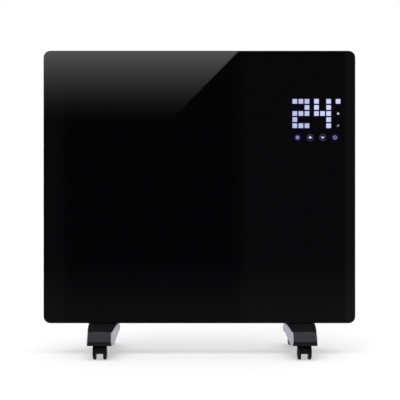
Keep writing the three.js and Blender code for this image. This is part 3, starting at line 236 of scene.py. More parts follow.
def foot_plastic(name):
    """The moulding of a foot: a matt, coarse grain, and a smoother satin on the leaning face at each end. The
    paler colour there is painted light, standing for the light that falls on that face. The face lies further than
    END_FACE_Y from the middle and higher than END_FACE_Z."""
    material = moulded_plastic(name, FOOT_MATT, FOOT_MATT_ROUGHNESS, 1300, 0.00016, 0.15)
    nodes, links = material.node_tree.nodes, material.node_tree.links
    shader = nodes["Principled BSDF"]
    place = nodes.new("ShaderNodeTexCoord")
    split = nodes.new("ShaderNodeSeparateXYZ")
    links.new(place.outputs["Object"], split.inputs["Vector"])
    reach = nodes.new("ShaderNodeMath")
    reach.operation = "ABSOLUTE"
    links.new(split.outputs["Y"], reach.inputs[0])
    outward_from, outward_to = END_FACE_Y - END_FACE_BLEND, END_FACE_Y + END_FACE_BLEND
    upward_from, upward_to = END_FACE_Z - END_FACE_BLEND, END_FACE_Z + END_FACE_BLEND
    outward = spread(nodes, links, reach.outputs["Value"], 0, 1, outward_from, outward_to)
    upward = spread(nodes, links, split.outputs["Z"], 0, 1, upward_from, upward_to)
    face = nodes.new("ShaderNodeMath")
    face.operation = "MULTIPLY"
    links.new(outward, face.inputs[0])
    links.new(upward, face.inputs[1])
    matt = shader.inputs["Base Color"].links[0].from_socket
    # Painted light: the end faces are mixed towards a paler colour
    face_painted_light = nodes.new("ShaderNodeMix")
    face_painted_light.data_type = "RGBA"
    links.new(face.outputs["Value"], face_painted_light.inputs["Factor"])
    links.new(matt, face_painted_light.inputs["A"])
    face_painted_light.inputs["B"].default_value = FOOT_FACE_PAINTED_LIGHT
    links.new(face_painted_light.outputs["Result"], shader.inputs["Base Color"])
    roughness = spread(
        nodes, links, face.outputs["Value"], FOOT_MATT_ROUGHNESS, FOOT_SATIN_ROUGHNESS, 0, 1
    )
    links.new(roughness, shader.inputs["Roughness"])
    return material


def printed_glass(name):
    """Clear glass printed black behind: almost no colour of its own, faint wiping marks in its gloss."""
    material, nodes, links, shader = new_finish(name, PRINT_BLACK, 0.012)
    shader.inputs["IOR"].default_value = GLASS_IOR
    where = object_place(nodes, links, (1, 1, 0.35))
    wiped = noise(nodes, links, where, 16, 6.0)
    links.new(spread(nodes, links, wiped, 0.006, 0.02), shader.inputs["Roughness"])
    return material


def lit_print(name, color):
    """The printed glass with light behind it, as bright as the surface's glow attribute."""
    material, nodes, links, shader = new_finish(name, PRINT_BLACK, 0.04)
    shader.inputs["IOR"].default_value = GLASS_IOR
    shader.inputs["Emission Color"].default_value = color
    glow = nodes.new("ShaderNodeAttribute")
    glow.attribute_name = "glow"
    grain = noise(nodes, links, object_place(nodes, links), 900, 1.0)
    level = nodes.new("ShaderNodeMath")
    level.operation = "MULTIPLY"
    links.new(glow.outputs["Fac"], level.inputs[0])
    links.new(spread(nodes, links, grain, 0.94, 1.06), level.inputs[1])
    links.new(level.outputs["Value"], shader.inputs["Emission Strength"])
    return material


def powder_coat(name):
    """Black powder coat on steel: a fine orange peel, with sparse brighter specks."""
    material, nodes, links, shader = new_finish(name, linear(26, 26, 29), 0.5)
    where = object_place(nodes, links)
    peel = noise(nodes, links, where, 900, 2.0)
    specks = noise(nodes, links, where, 3200, 0.0)
    broad = noise(nodes, links, where, 9, 5.0)
    sparse = spread(nodes, links, specks, 0, 1, 0.62, 0.78)
    speckled = tint(nodes, links, sparse, linear(25, 25, 28), linear(46, 46, 50))
    links.new(speckled, shader.inputs["Base Color"])
    links.new(spread(nodes, links, broad, 0.42, 0.56), shader.inputs["Roughness"])
    relief(nodes, links, shader, peel, 0.3, 0.0001)
    return material


def silver_paint(name):
    """Silver paint on a moulding: fine flakes under a satin lacquer."""
    material, nodes, links, shader = new_finish(name, linear(171, 169, 190), 0.34, 0.35)
    where = object_place(nodes, links)
    flakes = noise(nodes, links, where, 4200, 1.0)
    broad = noise(nodes, links, where, 22, 4.0)
    flaked = spread(nodes, links, flakes, 0, 1)
    silver = tint(nodes, links, flaked, linear(161, 159, 181), linear(182, 180, 200))
    links.new(silver, shader.inputs["Base Color"])
    links.new(spread(nodes, links, broad, 0.3, 0.42), shader.inputs["Roughness"])
    relief(nodes, links, shader, flakes, 0.12, 0.00005)
    return material


def plated_metal(name, color, roughness, stretch=(1, 1, 1)):
    """Plated or rolled metal: fine drawn lines along one axis and clouded patches."""
    material, nodes, links, shader = new_finish(name, color, roughness, 1.0)
    lines = noise(nodes, links, object_place(nodes, links, stretch), 1500, 2.0)
    cloud = noise(nodes, links, object_place(nodes, links), 60, 4.0)
    duller = tuple(0.8 * c for c in color[:3]) + (1.0,)
    clouded = tint(nodes, links, spread(nodes, links, cloud, 0, 1), duller, color)
    links.new(clouded, shader.inputs["Base Color"])
    drawn = spread(nodes, links, lines, roughness - 0.08, roughness + 0.1)
    links.new(drawn, shader.inputs["Roughness"])
    relief(nodes, links, shader, lines, 0.15, 0.00005)
    return material


def board_laminate(name):
    """Green solder mask over copper runs that follow a square pattern."""
    material, nodes, links, shader = new_finish(name, linear(24, 84, 48), 0.35)
    runs = nodes.new("ShaderNodeTexBrick")
    runs.inputs["Scale"].default_value = 160
    runs.inputs["Mortar Size"].default_value = 0.03
    runs.inputs["Color1"].default_value = linear(22, 78, 45)
    runs.inputs["Color2"].default_value = linear(26, 88, 50)
    runs.inputs["Mortar"].default_value = linear(58, 124, 72)
    mapping = nodes.new("ShaderNodeMapping")
    mapping.inputs["Rotation"].default_value = (math.pi / 2, 0, 0)
    place = nodes.new("ShaderNodeTexCoord")
    links.new(place.outputs["Object"], mapping.inputs["Vector"])
    links.new(mapping.outputs["Vector"], runs.inputs["Vector"])
    links.new(runs.outputs["Color"], shader.inputs["Base Color"])
    relief(nodes, links, shader, runs.outputs["Fac"], 0.3, 0.00004)
    return material


FINISHES = {
    "black_glass": printed_glass("black_glass"),
    "black_steel": powder_coat("powder_coat"),
    "white_plastic": moulded_plastic("white_plastic", linear(205, 205, 202), 0.5),
    "circuit_board": board_laminate("board_laminate"),
    "copper_spring": plated_metal("spring_copper", linear(196, 128, 78), 0.32),
    "black_plastic": moulded_plastic("black_plastic", linear(32, 32, 36), 0.5, specular=0.22),
    "blue_plastic": moulded_plastic("relay_blue", linear(34, 66, 122), 0.4),
    "finned_aluminium": plated_metal("fin_aluminium", linear(188, 190, 194), 0.34, (0.05, 1, 1)),
    "white_ceramic": moulded_plastic("element_ceramic", linear(222, 218, 206), 0.6, 900),
    "zinc_steel": plated_metal("zinc_plate", linear(176, 178, 182), 0.36, (1, 1, 0.05)),
    "silver_trim": silver_paint("silver_paint"),
    "wheel_plastic": moulded_plastic("wheel_nylon", linear(13, 13, 14), 0.45, 1400, specular=0.14),
}
FOOT_FINISH = foot_plastic("foot_plastic")
DIGIT_LIGHT = lit_print("digit_light", linear(203, 208, 244))
TOUCH_LIGHT = lit_print("touch_light", linear(206, 196, 255))
LAMP_LIGHT = lit_print("lamp_light", linear(226, 222, 246))
HALO_LIGHT = lit_print("halo_light", linear(120, 108, 255))
MARK_WHITE = moulded_plastic("switch_mark_white", linear(225, 225, 225), 0.4)

SLOT_OF = {entry["node"]: entry["material_slot"] for entry in frame["record"]["subparts"]}


def finish_of(node):
    """The finish of a node: its slot's, but for the feet's mouldings and the hoods of the casters."""
    if node.startswith("foot_core"):
        return FOOT_FINISH
    if node.startswith("caster_hood"):
        return FINISHES["wheel_plastic"]
    return FINISHES[SLOT_OF[node]]


def body_of_node(node):
    """The name of the body that a node belongs to."""
    bodies = frame["record"]["behaviour"]["bodies"]
    return next(name for name, members in bodies.items() if node in members)


for node_name, node_object in frame["nodes"].items():
    node_object.data.materials.clear()
    node_object.data.materials.append(finish_of(node_name))


# Pieces

MERGE_DISTANCE = 2e-6
FLAT_ANGLE = math.radians(0.4)  # faces that turn less than this are joined


def add_piece(name, shape, material, body):
    """A new mesh piece that rides on a body, from a shape: its points, faces and the glow at each point."""
    points, faces, glow = shape
    data = bpy.data.meshes.new(name)
    data.from_pydata(points.tolist(), [], faces)
    data.update()
    data.materials.append(material)
    if glow is not None:
        attribute = data.attributes.new("glow", "FLOAT", "POINT")
        attribute.data.foreach_set("value", glow.astype(np.float32))
    piece = bpy.data.objects.new(name, data)
    bpy.context.scene.collection.objects.link(piece)
    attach(piece, body)
    return piece


def rounded_copy(node, width, crease=32):
    """A node's surface with its doubles merged and its flat faces joined, its sharp edges rounded to a
    width in mm, and the small turns of its curves shaded smooth. It stands for the node."""
    source = frame["nodes"][node]
    surface = bmesh.new()
    surface.from_mesh(source.data)
    bmesh.ops.remove_doubles(surface, verts=surface.verts, dist=MERGE_DISTANCE)
    bmesh.ops.dissolve_limit(surface, angle_limit=FLAT_ANGLE, verts=surface.verts, edges=surface.edges)
    data = bpy.data.meshes.new(node + "_rounded")
    surface.to_mesh(data)
    surface.free()
    data.polygons.foreach_set("use_smooth", np.ones(len(data.polygons), dtype=bool))
    data.set_sharp_from_angle(angle=math.radians(crease))
    data.materials.append(finish_of(node))
    piece = bpy.data.objects.new(node + "_rounded", data)
    bpy.context.scene.collection.objects.link(piece)
    bevel = piece.modifiers.new("round_edges", "BEVEL")
    bevel.width = width * MM
    bevel.segments = 2
    bevel.limit_method = "ANGLE"
    bevel.angle_limit = math.radians(crease)
    bevel.harden_normals = True
    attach(piece, body_of_node(node))
    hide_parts(node)


# How far each piece's edges are rounded, in mm
EDGE_ROUNDS = {
    "glass_panel": 0.2,
    "panel_frame": 0.5,
    "rear_housing": 0.3,
    "outlet_grille": 0.4,
    "cord_gland": 0.5,
    "switch_body": 0.4,
    "switch_rocker": 0.4,
}
for side_name in FEET:
    EDGE_ROUNDS[f"foot_core_{side_name}"] = 1.3
    EDGE_ROUNDS[f"foot_trim_inner_{side_name}"] = 0.5
    EDGE_ROUNDS[f"foot_trim_outer_{side_name}"] = 0.5
    for end_name in ENDS:
        EDGE_ROUNDS[f"caster_hood_{end_name}_{side_name}"] = 0.3
        for place_name in ("inner", "outer"):
            EDGE_ROUNDS[f"caster_wheel_{place_name}_{end_name}_{side_name}"] = 0.5
for node_name, edge_round in EDGE_ROUNDS.items():
    rounded_copy(node_name, edge_round)


# Lit print on the glass

GLASS_LOW, GLASS_HIGH = (np.array(corner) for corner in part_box("glass_panel"))
PRINT_Y = GLASS_LOW[1]


def glass_point(from_right, from_top):
    """The x and z of a place on the glass, from its distances in mm to the right and top edges."""
    return GLASS_HIGH[0] - from_right * MM, GLASS_HIGH[2] - from_top * MM


def ring_quads(low, high, count):
    """Quads between two rings of points that start at the numbers low and high and run the same way."""
    here = np.arange(count)
    ahead = (here + 1) % count
    return np.stack([low + here, high + here, high + ahead, low + ahead], axis=1).tolist()


def fan(middle, ring, count, behind=False):
    """Triangles from a middle point to a ring of points, turned over where they close a shape's back."""
    here = np.arange(count)
    faces = np.stack([np.full(count, middle), ring + here, ring + (here + 1) % count], axis=1)
    return (faces[:, ::-1] if behind else faces).tolist()


def patch(outline, shares, levels):
    """A closed patch over an outline of points in mm round its middle. Ring k is the outline times share k,
    with glow k. Every ring stands proud of the face but the last, which lies sunk, as does the point that
    closes the back."""
    count, rings = len(outline), len(shares)
    flat = np.array(shares)[:, None, None] * outline
    lift = np.full((rings, count, 1), PRINT_PROUD)
    lift[-1] = -PRINT_SUNK
    body = np.concatenate([flat, lift], axis=2).reshape(-1, 3)
    points = np.concatenate([[[0, 0, PRINT_PROUD]], body, [[0, 0, -PRINT_SUNK]]])
    faces = fan(0, 1, count) + fan(len(points) - 1, 1 + (rings - 1) * count, count, behind=True)
    for ring in range(rings - 1):
        faces += ring_quads(1 + ring * count, 1 + (ring + 1) * count, count)
    return points, faces, np.concatenate([[levels[0]], np.repeat(levels, count), [0]])


def band(inner, outer, levels, proud=PRINT_PROUD):
    """A closed band between two outlines in mm. Its section rises from the inner rim, runs level, falls to
    the outer rim and closes behind. Each of its four corners has its own glow."""
    count = len(inner)
    shares = np.array([0, BAND_EDGE, 1 - BAND_EDGE, 1])[:, None, None]
    flat = inner * (1 - shares) + outer * shares
    lift = np.array([-PRINT_SUNK, proud, proud, -PRINT_SUNK])[:, None, None] + 0 * flat[..., :1]
    points = np.concatenate([flat, lift], axis=2).reshape(-1, 3)
    faces = []
    for corner in range(4):
        faces += ring_quads(corner * count, (corner + 1) % 4 * count, count)
    return points, faces, np.repeat(levels, count)


def stroke(path, width, level):
    """A line drawn along a path of points in mm. Its section, square to the path, is a low plateau with
    sloping sides, closed behind and at both ends."""
    along = np.gradient(path, axis=0)
    along /= np.linalg.norm(along, axis=1, keepdims=True)
    left = np.stack([-along[:, 1], along[:, 0]], axis=1)
    offsets = width * np.array([0.5, 0.36, -0.36, -0.5])[None, :, None]
    flat = path[:, None] + offsets * left[:, None]
    section = np.array([-PRINT_SUNK, PRINT_PROUD, PRINT_PROUD, -PRINT_SUNK])[None, :, None]
    lift = section + 0 * flat[..., :1]
    points = np.concatenate([flat, lift], axis=2).reshape(-1, 3)
    first = 4 * np.arange(len(path) - 1)[:, None]
    corner, after = np.arange(4), (np.arange(4) + 1) % 4
    faces = np.stack([first + corner, first + after, first + 4 + after, first + 4 + corner], axis=-1)
    last = len(points) - 4
    ends = [[0, 3, 2, 1], [last, last + 1, last + 2, last + 3]]
    return points, faces.reshape(-1, 4).tolist() + ends, np.full(len(points), level)


def gather(shapes):
    """Joins several shapes into one."""
    points = np.concatenate([shape[0] for shape in shapes])
    starts = np.cumsum([0] + [len(shape[0]) for shape in shapes])
    faces = [
        [start + corner for corner in face]
        for start, shape in zip(starts, shapes)
        for face in shape[1]
    ]
    return points, faces, np.concatenate([shape[2] for shape in shapes])


def on_glass(shape, middle):
    """A flat shape laid on the glass round a place: its first value runs right, its second up, its third
    out."""
    flat, faces, glow = shape
    points = np.stack(
        [middle[0] + MM * flat[:, 0], PRINT_Y - MM * flat[:, 2], middle[1] + MM * flat[:, 1]], axis=1
    )
    return points, faces, glow


def circle(radius, sides=48, squash=1.0, slant=0.0):
    """A circle in mm, drawn in upwards by the squash and leaning over by the slant."""
    turn = np.linspace(0, 2 * np.pi, sides, endpoint=False)
    up = squash * radius * np.sin(turn)
    return np.stack([radius * np.cos(turn) + slant * up, up], axis=1)


def straight_sided(normals, reaches, sharpness, sides=72):
    """The outline of a form with straight sides and soft corners. Its radius at a turn is one over the
    sharpness-norm of the sides' values there: the cosine to each side's normal over the side's reach."""
    turn = np.linspace(0, 2 * np.pi, sides, endpoint=False)
    facing = np.clip(np.cos(turn[:, None] - np.array(normals)[None, :]), 0, 1) / np.array(reaches)
    radius = (facing**sharpness).sum(axis=1) ** (-1 / sharpness)
    return np.stack([radius * np.cos(turn), radius * np.sin(turn)], axis=1)


def square(half):
    """A square outline with soft corners."""
    return straight_sided((0, np.pi / 2, np.pi, -np.pi / 2), (half,) * 4, 16)


def arrow(half_width, height):
    """A triangle that points up, with its middle a third of its height over its base."""
    side = math.atan2(half_width, height)
    reach = 2 / 3 * height * math.sin(side)
    return straight_sided((side, np.pi - side, -np.pi / 2), (reach, reach, height / 3), 14)


def gear(radius, tooth):
    """A rim whose radius steps out and in by half a tooth, once round for each of its teeth."""
    turn = np.linspace(0, 2 * np.pi, MODE_SIDES, endpoint=False)
    rim = radius + 0.5 * tooth * np.tanh(3 * np.cos(MODE_TEETH * turn))
    return np.stack([rim * np.cos(turn), rim * np.sin(turn)], axis=1)


def halo(radius, level):
    """The soft light round a mark: its glow falls off as the share left to the edge, to the power 1.6."""
    shares = np.linspace(0.1, 1, 9)
    points, faces, glow = patch(circle(radius), shares, level * (1 - shares) ** 1.6)
    points[:, 2] = np.minimum(points[:, 2], 0.4 * PRINT_PROUD)
    return points, faces, glow


lit_cells = [
    (
        DIGIT_FROM_RIGHT - digit * DIGIT_PITCH - column * CELL_PITCH,
        DIGIT_FROM_TOP + row * CELL_PITCH,
        DIGIT_LEVELS[digit],
    )
    for digit, rows in enumerate(DIGITS)
    for row, marks in enumerate(rows)
    for column, mark in enumerate(marks)
    if mark == "1"
]
lit_cells.append((DEGREE_FROM_RIGHT, DIGIT_FROM_TOP, 1.0))
glow_start, glow_end = square(CELL / 2 - CELL_GLOW_INSET), square(CELL_PITCH / 2 - CELL_GLOW_GAP)
cell_glow = band(glow_start, glow_end, CELL_GLOW_LEVELS, CELL_GLOW_PROUD)
cell_shapes, glow_shapes = [], []
for from_right, from_top, digit_level in lit_cells:
    level = digit_level + CELL_WAVER * math.sin(0.9 * from_right + 0.5 * from_top)
    cell = patch(square(CELL / 2), CELL_RINGS, level * np.array(CELL_LEVELS))
    cell_place = glass_point(from_right, from_top)
    cell_shapes.append(on_glass(cell, cell_place))
    glow_shapes.append(on_glass(cell_glow, cell_place))
add_piece("lit_digits", gather(cell_shapes), DIGIT_LIGHT, "heater")
add_piece("digit_glow", gather(glow_shapes), HALO_LIGHT, "heater")

LAMP_PLACES = {
    "round_lamp": glass_point(LAMP_FROM_RIGHT, ROUND_LAMP_FROM_TOP),
    "slanted_lamp": glass_point(LAMP_FROM_RIGHT, SLANTED_LAMP_FROM_TOP),
}
round_lamp = patch(circle(ROUND_LAMP_RADIUS), ROUND_LAMP_RINGS, ROUND_LAMP_LEVELS)
slanted_outline = circle(
    SLANTED_LAMP_RADIUS, squash=SLANTED_LAMP_SQUASH, slant=SLANTED_LAMP_SLANT
)
slanted_lamp = patch(slanted_outline, SLANTED_LAMP_RINGS, SLANTED_LAMP_LEVELS)
lamp_shapes = [
    on_glass(round_lamp, LAMP_PLACES["round_lamp"]),
    on_glass(slanted_lamp, LAMP_PLACES["slanted_lamp"]),
]
add_piece("lit_lamps", gather(lamp_shapes), LAMP_LIGHT, "heater")

KEY_PLACES = {key: glass_point(place, TOUCH_FROM_TOP) for key, place in TOUCH_FROM_RIGHT.items()}
mode_rim = gear(MODE_RIM_RADIUS, MODE_TOOTH)
mode_wheel = band(circle(MODE_HOLE_RADIUS, MODE_SIDES), mode_rim, MODE_LEVELS)
power_turn = np.linspace(0.5 * np.pi + POWER_RING_OPENING, 2.5 * np.pi - POWER_RING_OPENING, 60)
power_ring = POWER_RING_RADIUS * np.stack([np.cos(power_turn), np.sin(power_turn)], axis=1)
power_bar = np.stack([np.zeros(8), np.linspace(*POWER_BAR_ENDS, 8)], axis=1)
up_arrow = patch(arrow(**UP_ARROW), ARROW_RINGS, UP_ARROW_LEVELS)
up_arrow[0][:, 1] += UP_ARROW_RAISE
down_arrow = patch(arrow(**DOWN_ARROW), ARROW_RINGS, DOWN_ARROW_LEVELS)
down_arrow[0][:, :2] *= -1  # half a turn
key_ring = band(*(circle(radius) for radius in KEY_RING_RADII), KEY_RING_LEVELS)
mark_shapes = [
    on_glass(mode_wheel, KEY_PLACES["mode"]),
    on_glass(up_arrow, KEY_PLACES["up"]),
    on_glass(key_ring, KEY_PLACES["up"]),
    on_glass(down_arrow, KEY_PLACES["down"]),
    on_glass(key_ring, KEY_PLACES["down"]),
    on_glass(stroke(power_ring, POWER_RING_WIDTH, POWER_LEVEL), KEY_PLACES["power"]),
    on_glass(stroke(power_bar, POWER_BAR_WIDTH, POWER_LEVEL), KEY_PLACES["power"]),
]
halo_places = {**KEY_PLACES, **LAMP_PLACES}
halo_shapes = [on_glass(halo(*HALOS[mark]), place) for mark, place in halo_places.items()]
add_piece("touch_marks", gather(mark_shapes), TOUCH_LIGHT, "heater")
add_piece("touch_halos", gather(halo_shapes), HALO_LIGHT, "heater")


# Turned details

# Radii, heights and distances in mm, and shares of the cap's or the head's radius
HUB_CAP_RADIUS = 7.4
HUB_CAP_BASE_HEIGHT = 0.06
BEAD_HEIGHT, BEAD_SHARE, BEAD_WIDTH_SHARE = 0.45, 0.9, 0.07
BOSS_HEIGHT, BOSS_SHARE = 0.55, 0.26
RIB_HEIGHT = 0.3
RIB_COUNT = 5
RIB_SINE = 0.22  # sets a rib's width; the sine runs from nought to one half-way to the next rib
SCREW_HEAD_RADIUS = 3.4
SCREW_DOME_HEIGHT = 1.5
SCREW_RIM_FACTOR = 0.5  # the dome's height at its rim over that in its middle
RECESS_DEPTH = 0.8
RECESS_HALF_WIDTH_SHARE, RECESS_WIDTH_BLEND = 0.11, 0.02
RECESS_REACH_SHARE, RECESS_REACH_BLEND = 0.55, 0.03
SCREW_FROM_SIDE = 16
SCREW_FROM_TOP = 16
SCREW_FROM_BOTTOM = 15


def turned_cap(middle, outward, radius, height, back=0.2, rings=14, sides=60):
    """A round cap on a flat face. Its height over the face is a function of the share of its radius and of
    the turn. The last ring lies behind the face by the back value in mm, and a point on the axis closes it
    there."""
    share = np.linspace(1 / rings, 1, rings)[:, None]
    turn = np.linspace(0, 2 * np.pi, sides, endpoint=False)[None, :]
    lift = height(share, turn) + 0 * turn
    lift = np.concatenate([lift, np.full((1, sides), -back)])
    spread_out = np.concatenate([share + 0 * turn, np.ones((1, sides))]) * radius
    across = spread_out * np.cos(np.concatenate([turn] * (rings + 1)))
    along = spread_out * np.sin(np.concatenate([turn] * (rings + 1)))
    centre_lift = float(height(np.zeros((1, 1)), np.zeros((1, 1)))[0, 0])
    flat = np.concatenate(
        [
            [[0, 0, centre_lift]],
            np.stack([across, along, lift], axis=-1).reshape(-1, 3),
            [[0, 0, -back]],
        ]
    )
    out = np.array(outward, dtype=float)
    side = np.array([0.0, 0.0, 1.0]) if abs(out[2]) < 0.5 else np.array([1.0, 0.0, 0.0])
    first = np.cross(side, out)
    second = np.cross(out, first)
    points = np.array(middle) + MM * (flat[:, :1] * first + flat[:, 1:2] * second + flat[:, 2:] * out)
    faces = fan(0, 1, sides) + fan(len(points) - 1, 1 + rings * sides, sides, behind=True)
    for ring in range(rings):
        faces += ring_quads(1 + ring * sides, 1 + (ring + 1) * sides, sides)
    return points, faces, None


def hub_height(share, turn):
    """A hub cap's height in mm: a bead near the rim, a round boss in the middle, and five ribs that fade
    towards the rim."""
    bead = BEAD_HEIGHT * np.exp(-(((share - BEAD_SHARE) / BEAD_WIDTH_SHARE) ** 2))
    boss = BOSS_HEIGHT * np.exp(-((share / BOSS_SHARE) ** 4))
    crests = np.exp(-((np.sin(RIB_COUNT / 2 * turn) / RIB_SINE) ** 2))
    ribs = RIB_HEIGHT * crests * np.clip(1 - share, 0, 1) ** 0.5
    return HUB_CAP_BASE_HEIGHT + np.maximum(np.maximum(bead, boss), ribs)


def screw_height(share, turn):
    """A pan head's height in mm: a low dome with a cross recess."""
    dome = SCREW_DOME_HEIGHT * np.sqrt(np.clip(1 - (1 - SCREW_RIM_FACTOR**2) * share**4, 0, 1))
    x, y = share * np.cos(turn), share * np.sin(turn)
    arm = np.minimum(np.abs(x), np.abs(y))
    across = 1 / (1 + np.exp((arm - RECESS_HALF_WIDTH_SHARE) / RECESS_WIDTH_BLEND))
    recess = across / (1 + np.exp((share - RECESS_REACH_SHARE) / RECESS_REACH_BLEND))
    return dome - RECESS_DEPTH * recess


def smooth_shade(piece, crease=40):
    """Shades a piece smooth but for its creases."""
    piece.data.polygons.foreach_set("use_smooth", np.ones(len(piece.data.polygons), dtype=bool))
    piece.data.set_sharp_from_angle(angle=math.radians(crease))


for side_name, side in FEET.items():
    for end_name in ENDS:
        for place_name, outward in (("outer", side), ("inner", -side)):
            wheel = f"caster_wheel_{place_name}_{end_name}_{side_name}"
            low, high = (np.array(corner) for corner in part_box(wheel))
            centre = (low + high) / 2
            centre[0] = high[0] if outward > 0 else low[0]
            hub = add_piece(
                f"hub_cap_{place_name}_{end_name}_{side_name}",
                turned_cap(centre, (outward, 0, 0), HUB_CAP_RADIUS, hub_height),
                FINISHES["wheel_plastic"],
                f"wheel_{place_name}_{end_name}_{side_name}",
            )
            smooth_shade(hub)

HOUSING_LOW, HOUSING_HIGH = (np.array(corner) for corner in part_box("rear_housing"))
screw_columns = (
    HOUSING_LOW[0] + SCREW_FROM_SIDE * MM,
    (HOUSING_LOW[0] + HOUSING_HIGH[0]) / 2,
    HOUSING_HIGH[0] - SCREW_FROM_SIDE * MM,
)
screw_rows = (HOUSING_LOW[2] + SCREW_FROM_BOTTOM * MM, HOUSING_HIGH[2] - SCREW_FROM_TOP * MM)
screw_places = [(x, HOUSING_HIGH[1], z) for x in screw_columns for z in screw_rows]
for number, screw_place in enumerate(screw_places, 1):
    head = turned_cap(screw_place, (0, 1, 0), SCREW_HEAD_RADIUS, screw_height, rings=18, sides=64)
    screw = add_piece(f"housing_screw_{number}", head, FINISHES["zinc_steel"], "heater")
    smooth_shade(screw)


# Marks on the rocker

ROCKER_JOINT = next(joint for joint in frame["joints"] if joint["name"] == "rocker_switch")
ROCKER_PIVOT = np.array(ROCKER_JOINT["pos_m"])
ROCKER_TILT = math.radians(max(ROCKER_JOINT["range_deg"]) / 2)  # it rests at one end of its travel
ROCKER_DIP = 2.6  # middle of the face over the pivot, in mm
ROCKER_SLOPE = 1.2 / 7.2  # rise of the face over its run, from its middle to each end
ROCKER_MARK_HEIGHT = 4.6  # from the pivot to each mark, in mm
ON_MARK_HALF = 1.3
ON_MARK_WIDTH = 0.5
OFF_MARK_RADII = (0.95, 1.4)


def on_rocker(shape, height):
    """A flat shape laid on the rocker's face at a height over its pivot. The face rises evenly to both
    ends, and the whole is turned about the pivot by its tilt."""
    flat, faces, _ = shape
    along = height + flat[:, 1]
    out = ROCKER_DIP + ROCKER_SLOPE * np.abs(along) + flat[:, 2]
    x = ROCKER_PIVOT[0] + MM * (out * math.cos(ROCKER_TILT) + along * math.sin(ROCKER_TILT))
    z = ROCKER_PIVOT[2] + MM * (along * math.cos(ROCKER_TILT) - out * math.sin(ROCKER_TILT))
    return np.stack([x, ROCKER_PIVOT[1] + MM * flat[:, 0], z], axis=1), faces, None


bar = np.stack([np.linspace(-ON_MARK_HALF, ON_MARK_HALF, 6), np.zeros(6)], axis=1)
on_mark = on_rocker(stroke(bar, ON_MARK_WIDTH, 1), ROCKER_MARK_HEIGHT)
off_ring = band(*(circle(radius) for radius in OFF_MARK_RADII), (1, 1, 1, 1))
off_mark = on_rocker(off_ring, -ROCKER_MARK_HEIGHT)
add_piece("rocker_on_mark", on_mark, MARK_WHITE, "switch_rocker")
add_piece("rocker_off_mark", off_mark, MARK_WHITE, "switch_rocker")


# Studio

FLOOR_REACH = 9  # of the floor to each side
FLOOR_BACK = 14
FLOOR_FRONT = -0.47
FLOOR_PAINT = (0.57, 0.57, 0.57, 1)
FLOOR_LIFT = 0.43  # what the floor shows beyond the light that falls on it
GLEAM_END = -0.04  # the floor's reflection fades from here to its front edge
WALL_FOOT_LEVEL = 0.16  # the wall's light where the floor ends
SKY_LEVEL = 0.40  # the sky's light on the heater; it is seen as white
WHITE = (1, 1, 1, 1)

# The front wall's light: places on the wall in metres, from one end of each change to the other
WALL_Y = -2.5
WALL_REACH = 6  # of the wall to each side
WALL_BOTTOM = -4
WALL_TOP = 6
WALL_LEVEL = 0.012
WINDOW_RISE = (0.50, 0.80)  # Z, from dark to full
WINDOW_POWER = 2.4  # of its rise
WINDOW_CEILING = (1.3, 2.0)  # Z, from full to dark
WINDOW_LEFT_END = (-2.8, -1.9)  # X, from dark to full
WINDOW_LEVEL = 2.25
BLIND_LEAN = 0.98  # X for each Z
BLIND_END = (-0.6165, -0.6095)  # X less its lean, from full to dark
RIGHT_PART = (0.14, 0.19)  # X
RIGHT_PART_LEVEL = 0.035
RIGHT_STRIP = (0.545, 0.555)  # X
RIGHT_STRIP_LEVEL = 0.075
LEFT_PART = (-0.50, -0.47)  # X
LEFT_PART_LEVEL = 0.035
SKIRTING = (-0.24, 0.05)  # Z
SKIRTING_LEVEL = 0.085


def studio_sheet(name, corners, material):
    """A flat four-cornered sheet of the studio, which isn't part of the heater."""
    data = bpy.data.meshes.new(name)
    data.from_pydata(corners, [], [(0, 1, 2, 3)])
    data.update()
    data.materials.append(material)
    piece = bpy.data.objects.new(name, data)
    bpy.context.scene.collection.objects.link(piece)
    return piece


def seen_directly(nodes, links):
    """One for camera, glossy and transmission rays, and nought for the others."""
    path = nodes.new("ShaderNodeLightPath")
    total = path.outputs["Is Camera Ray"]
    for kind in ("Is Glossy Ray", "Is Transmission Ray"):
        larger = nodes.new("ShaderNodeMath")
        larger.operation = "MAXIMUM"
        links.new(total, larger.inputs[0])
        links.new(path.outputs[kind], larger.inputs[1])
        total = larger.outputs["Value"]
    return total


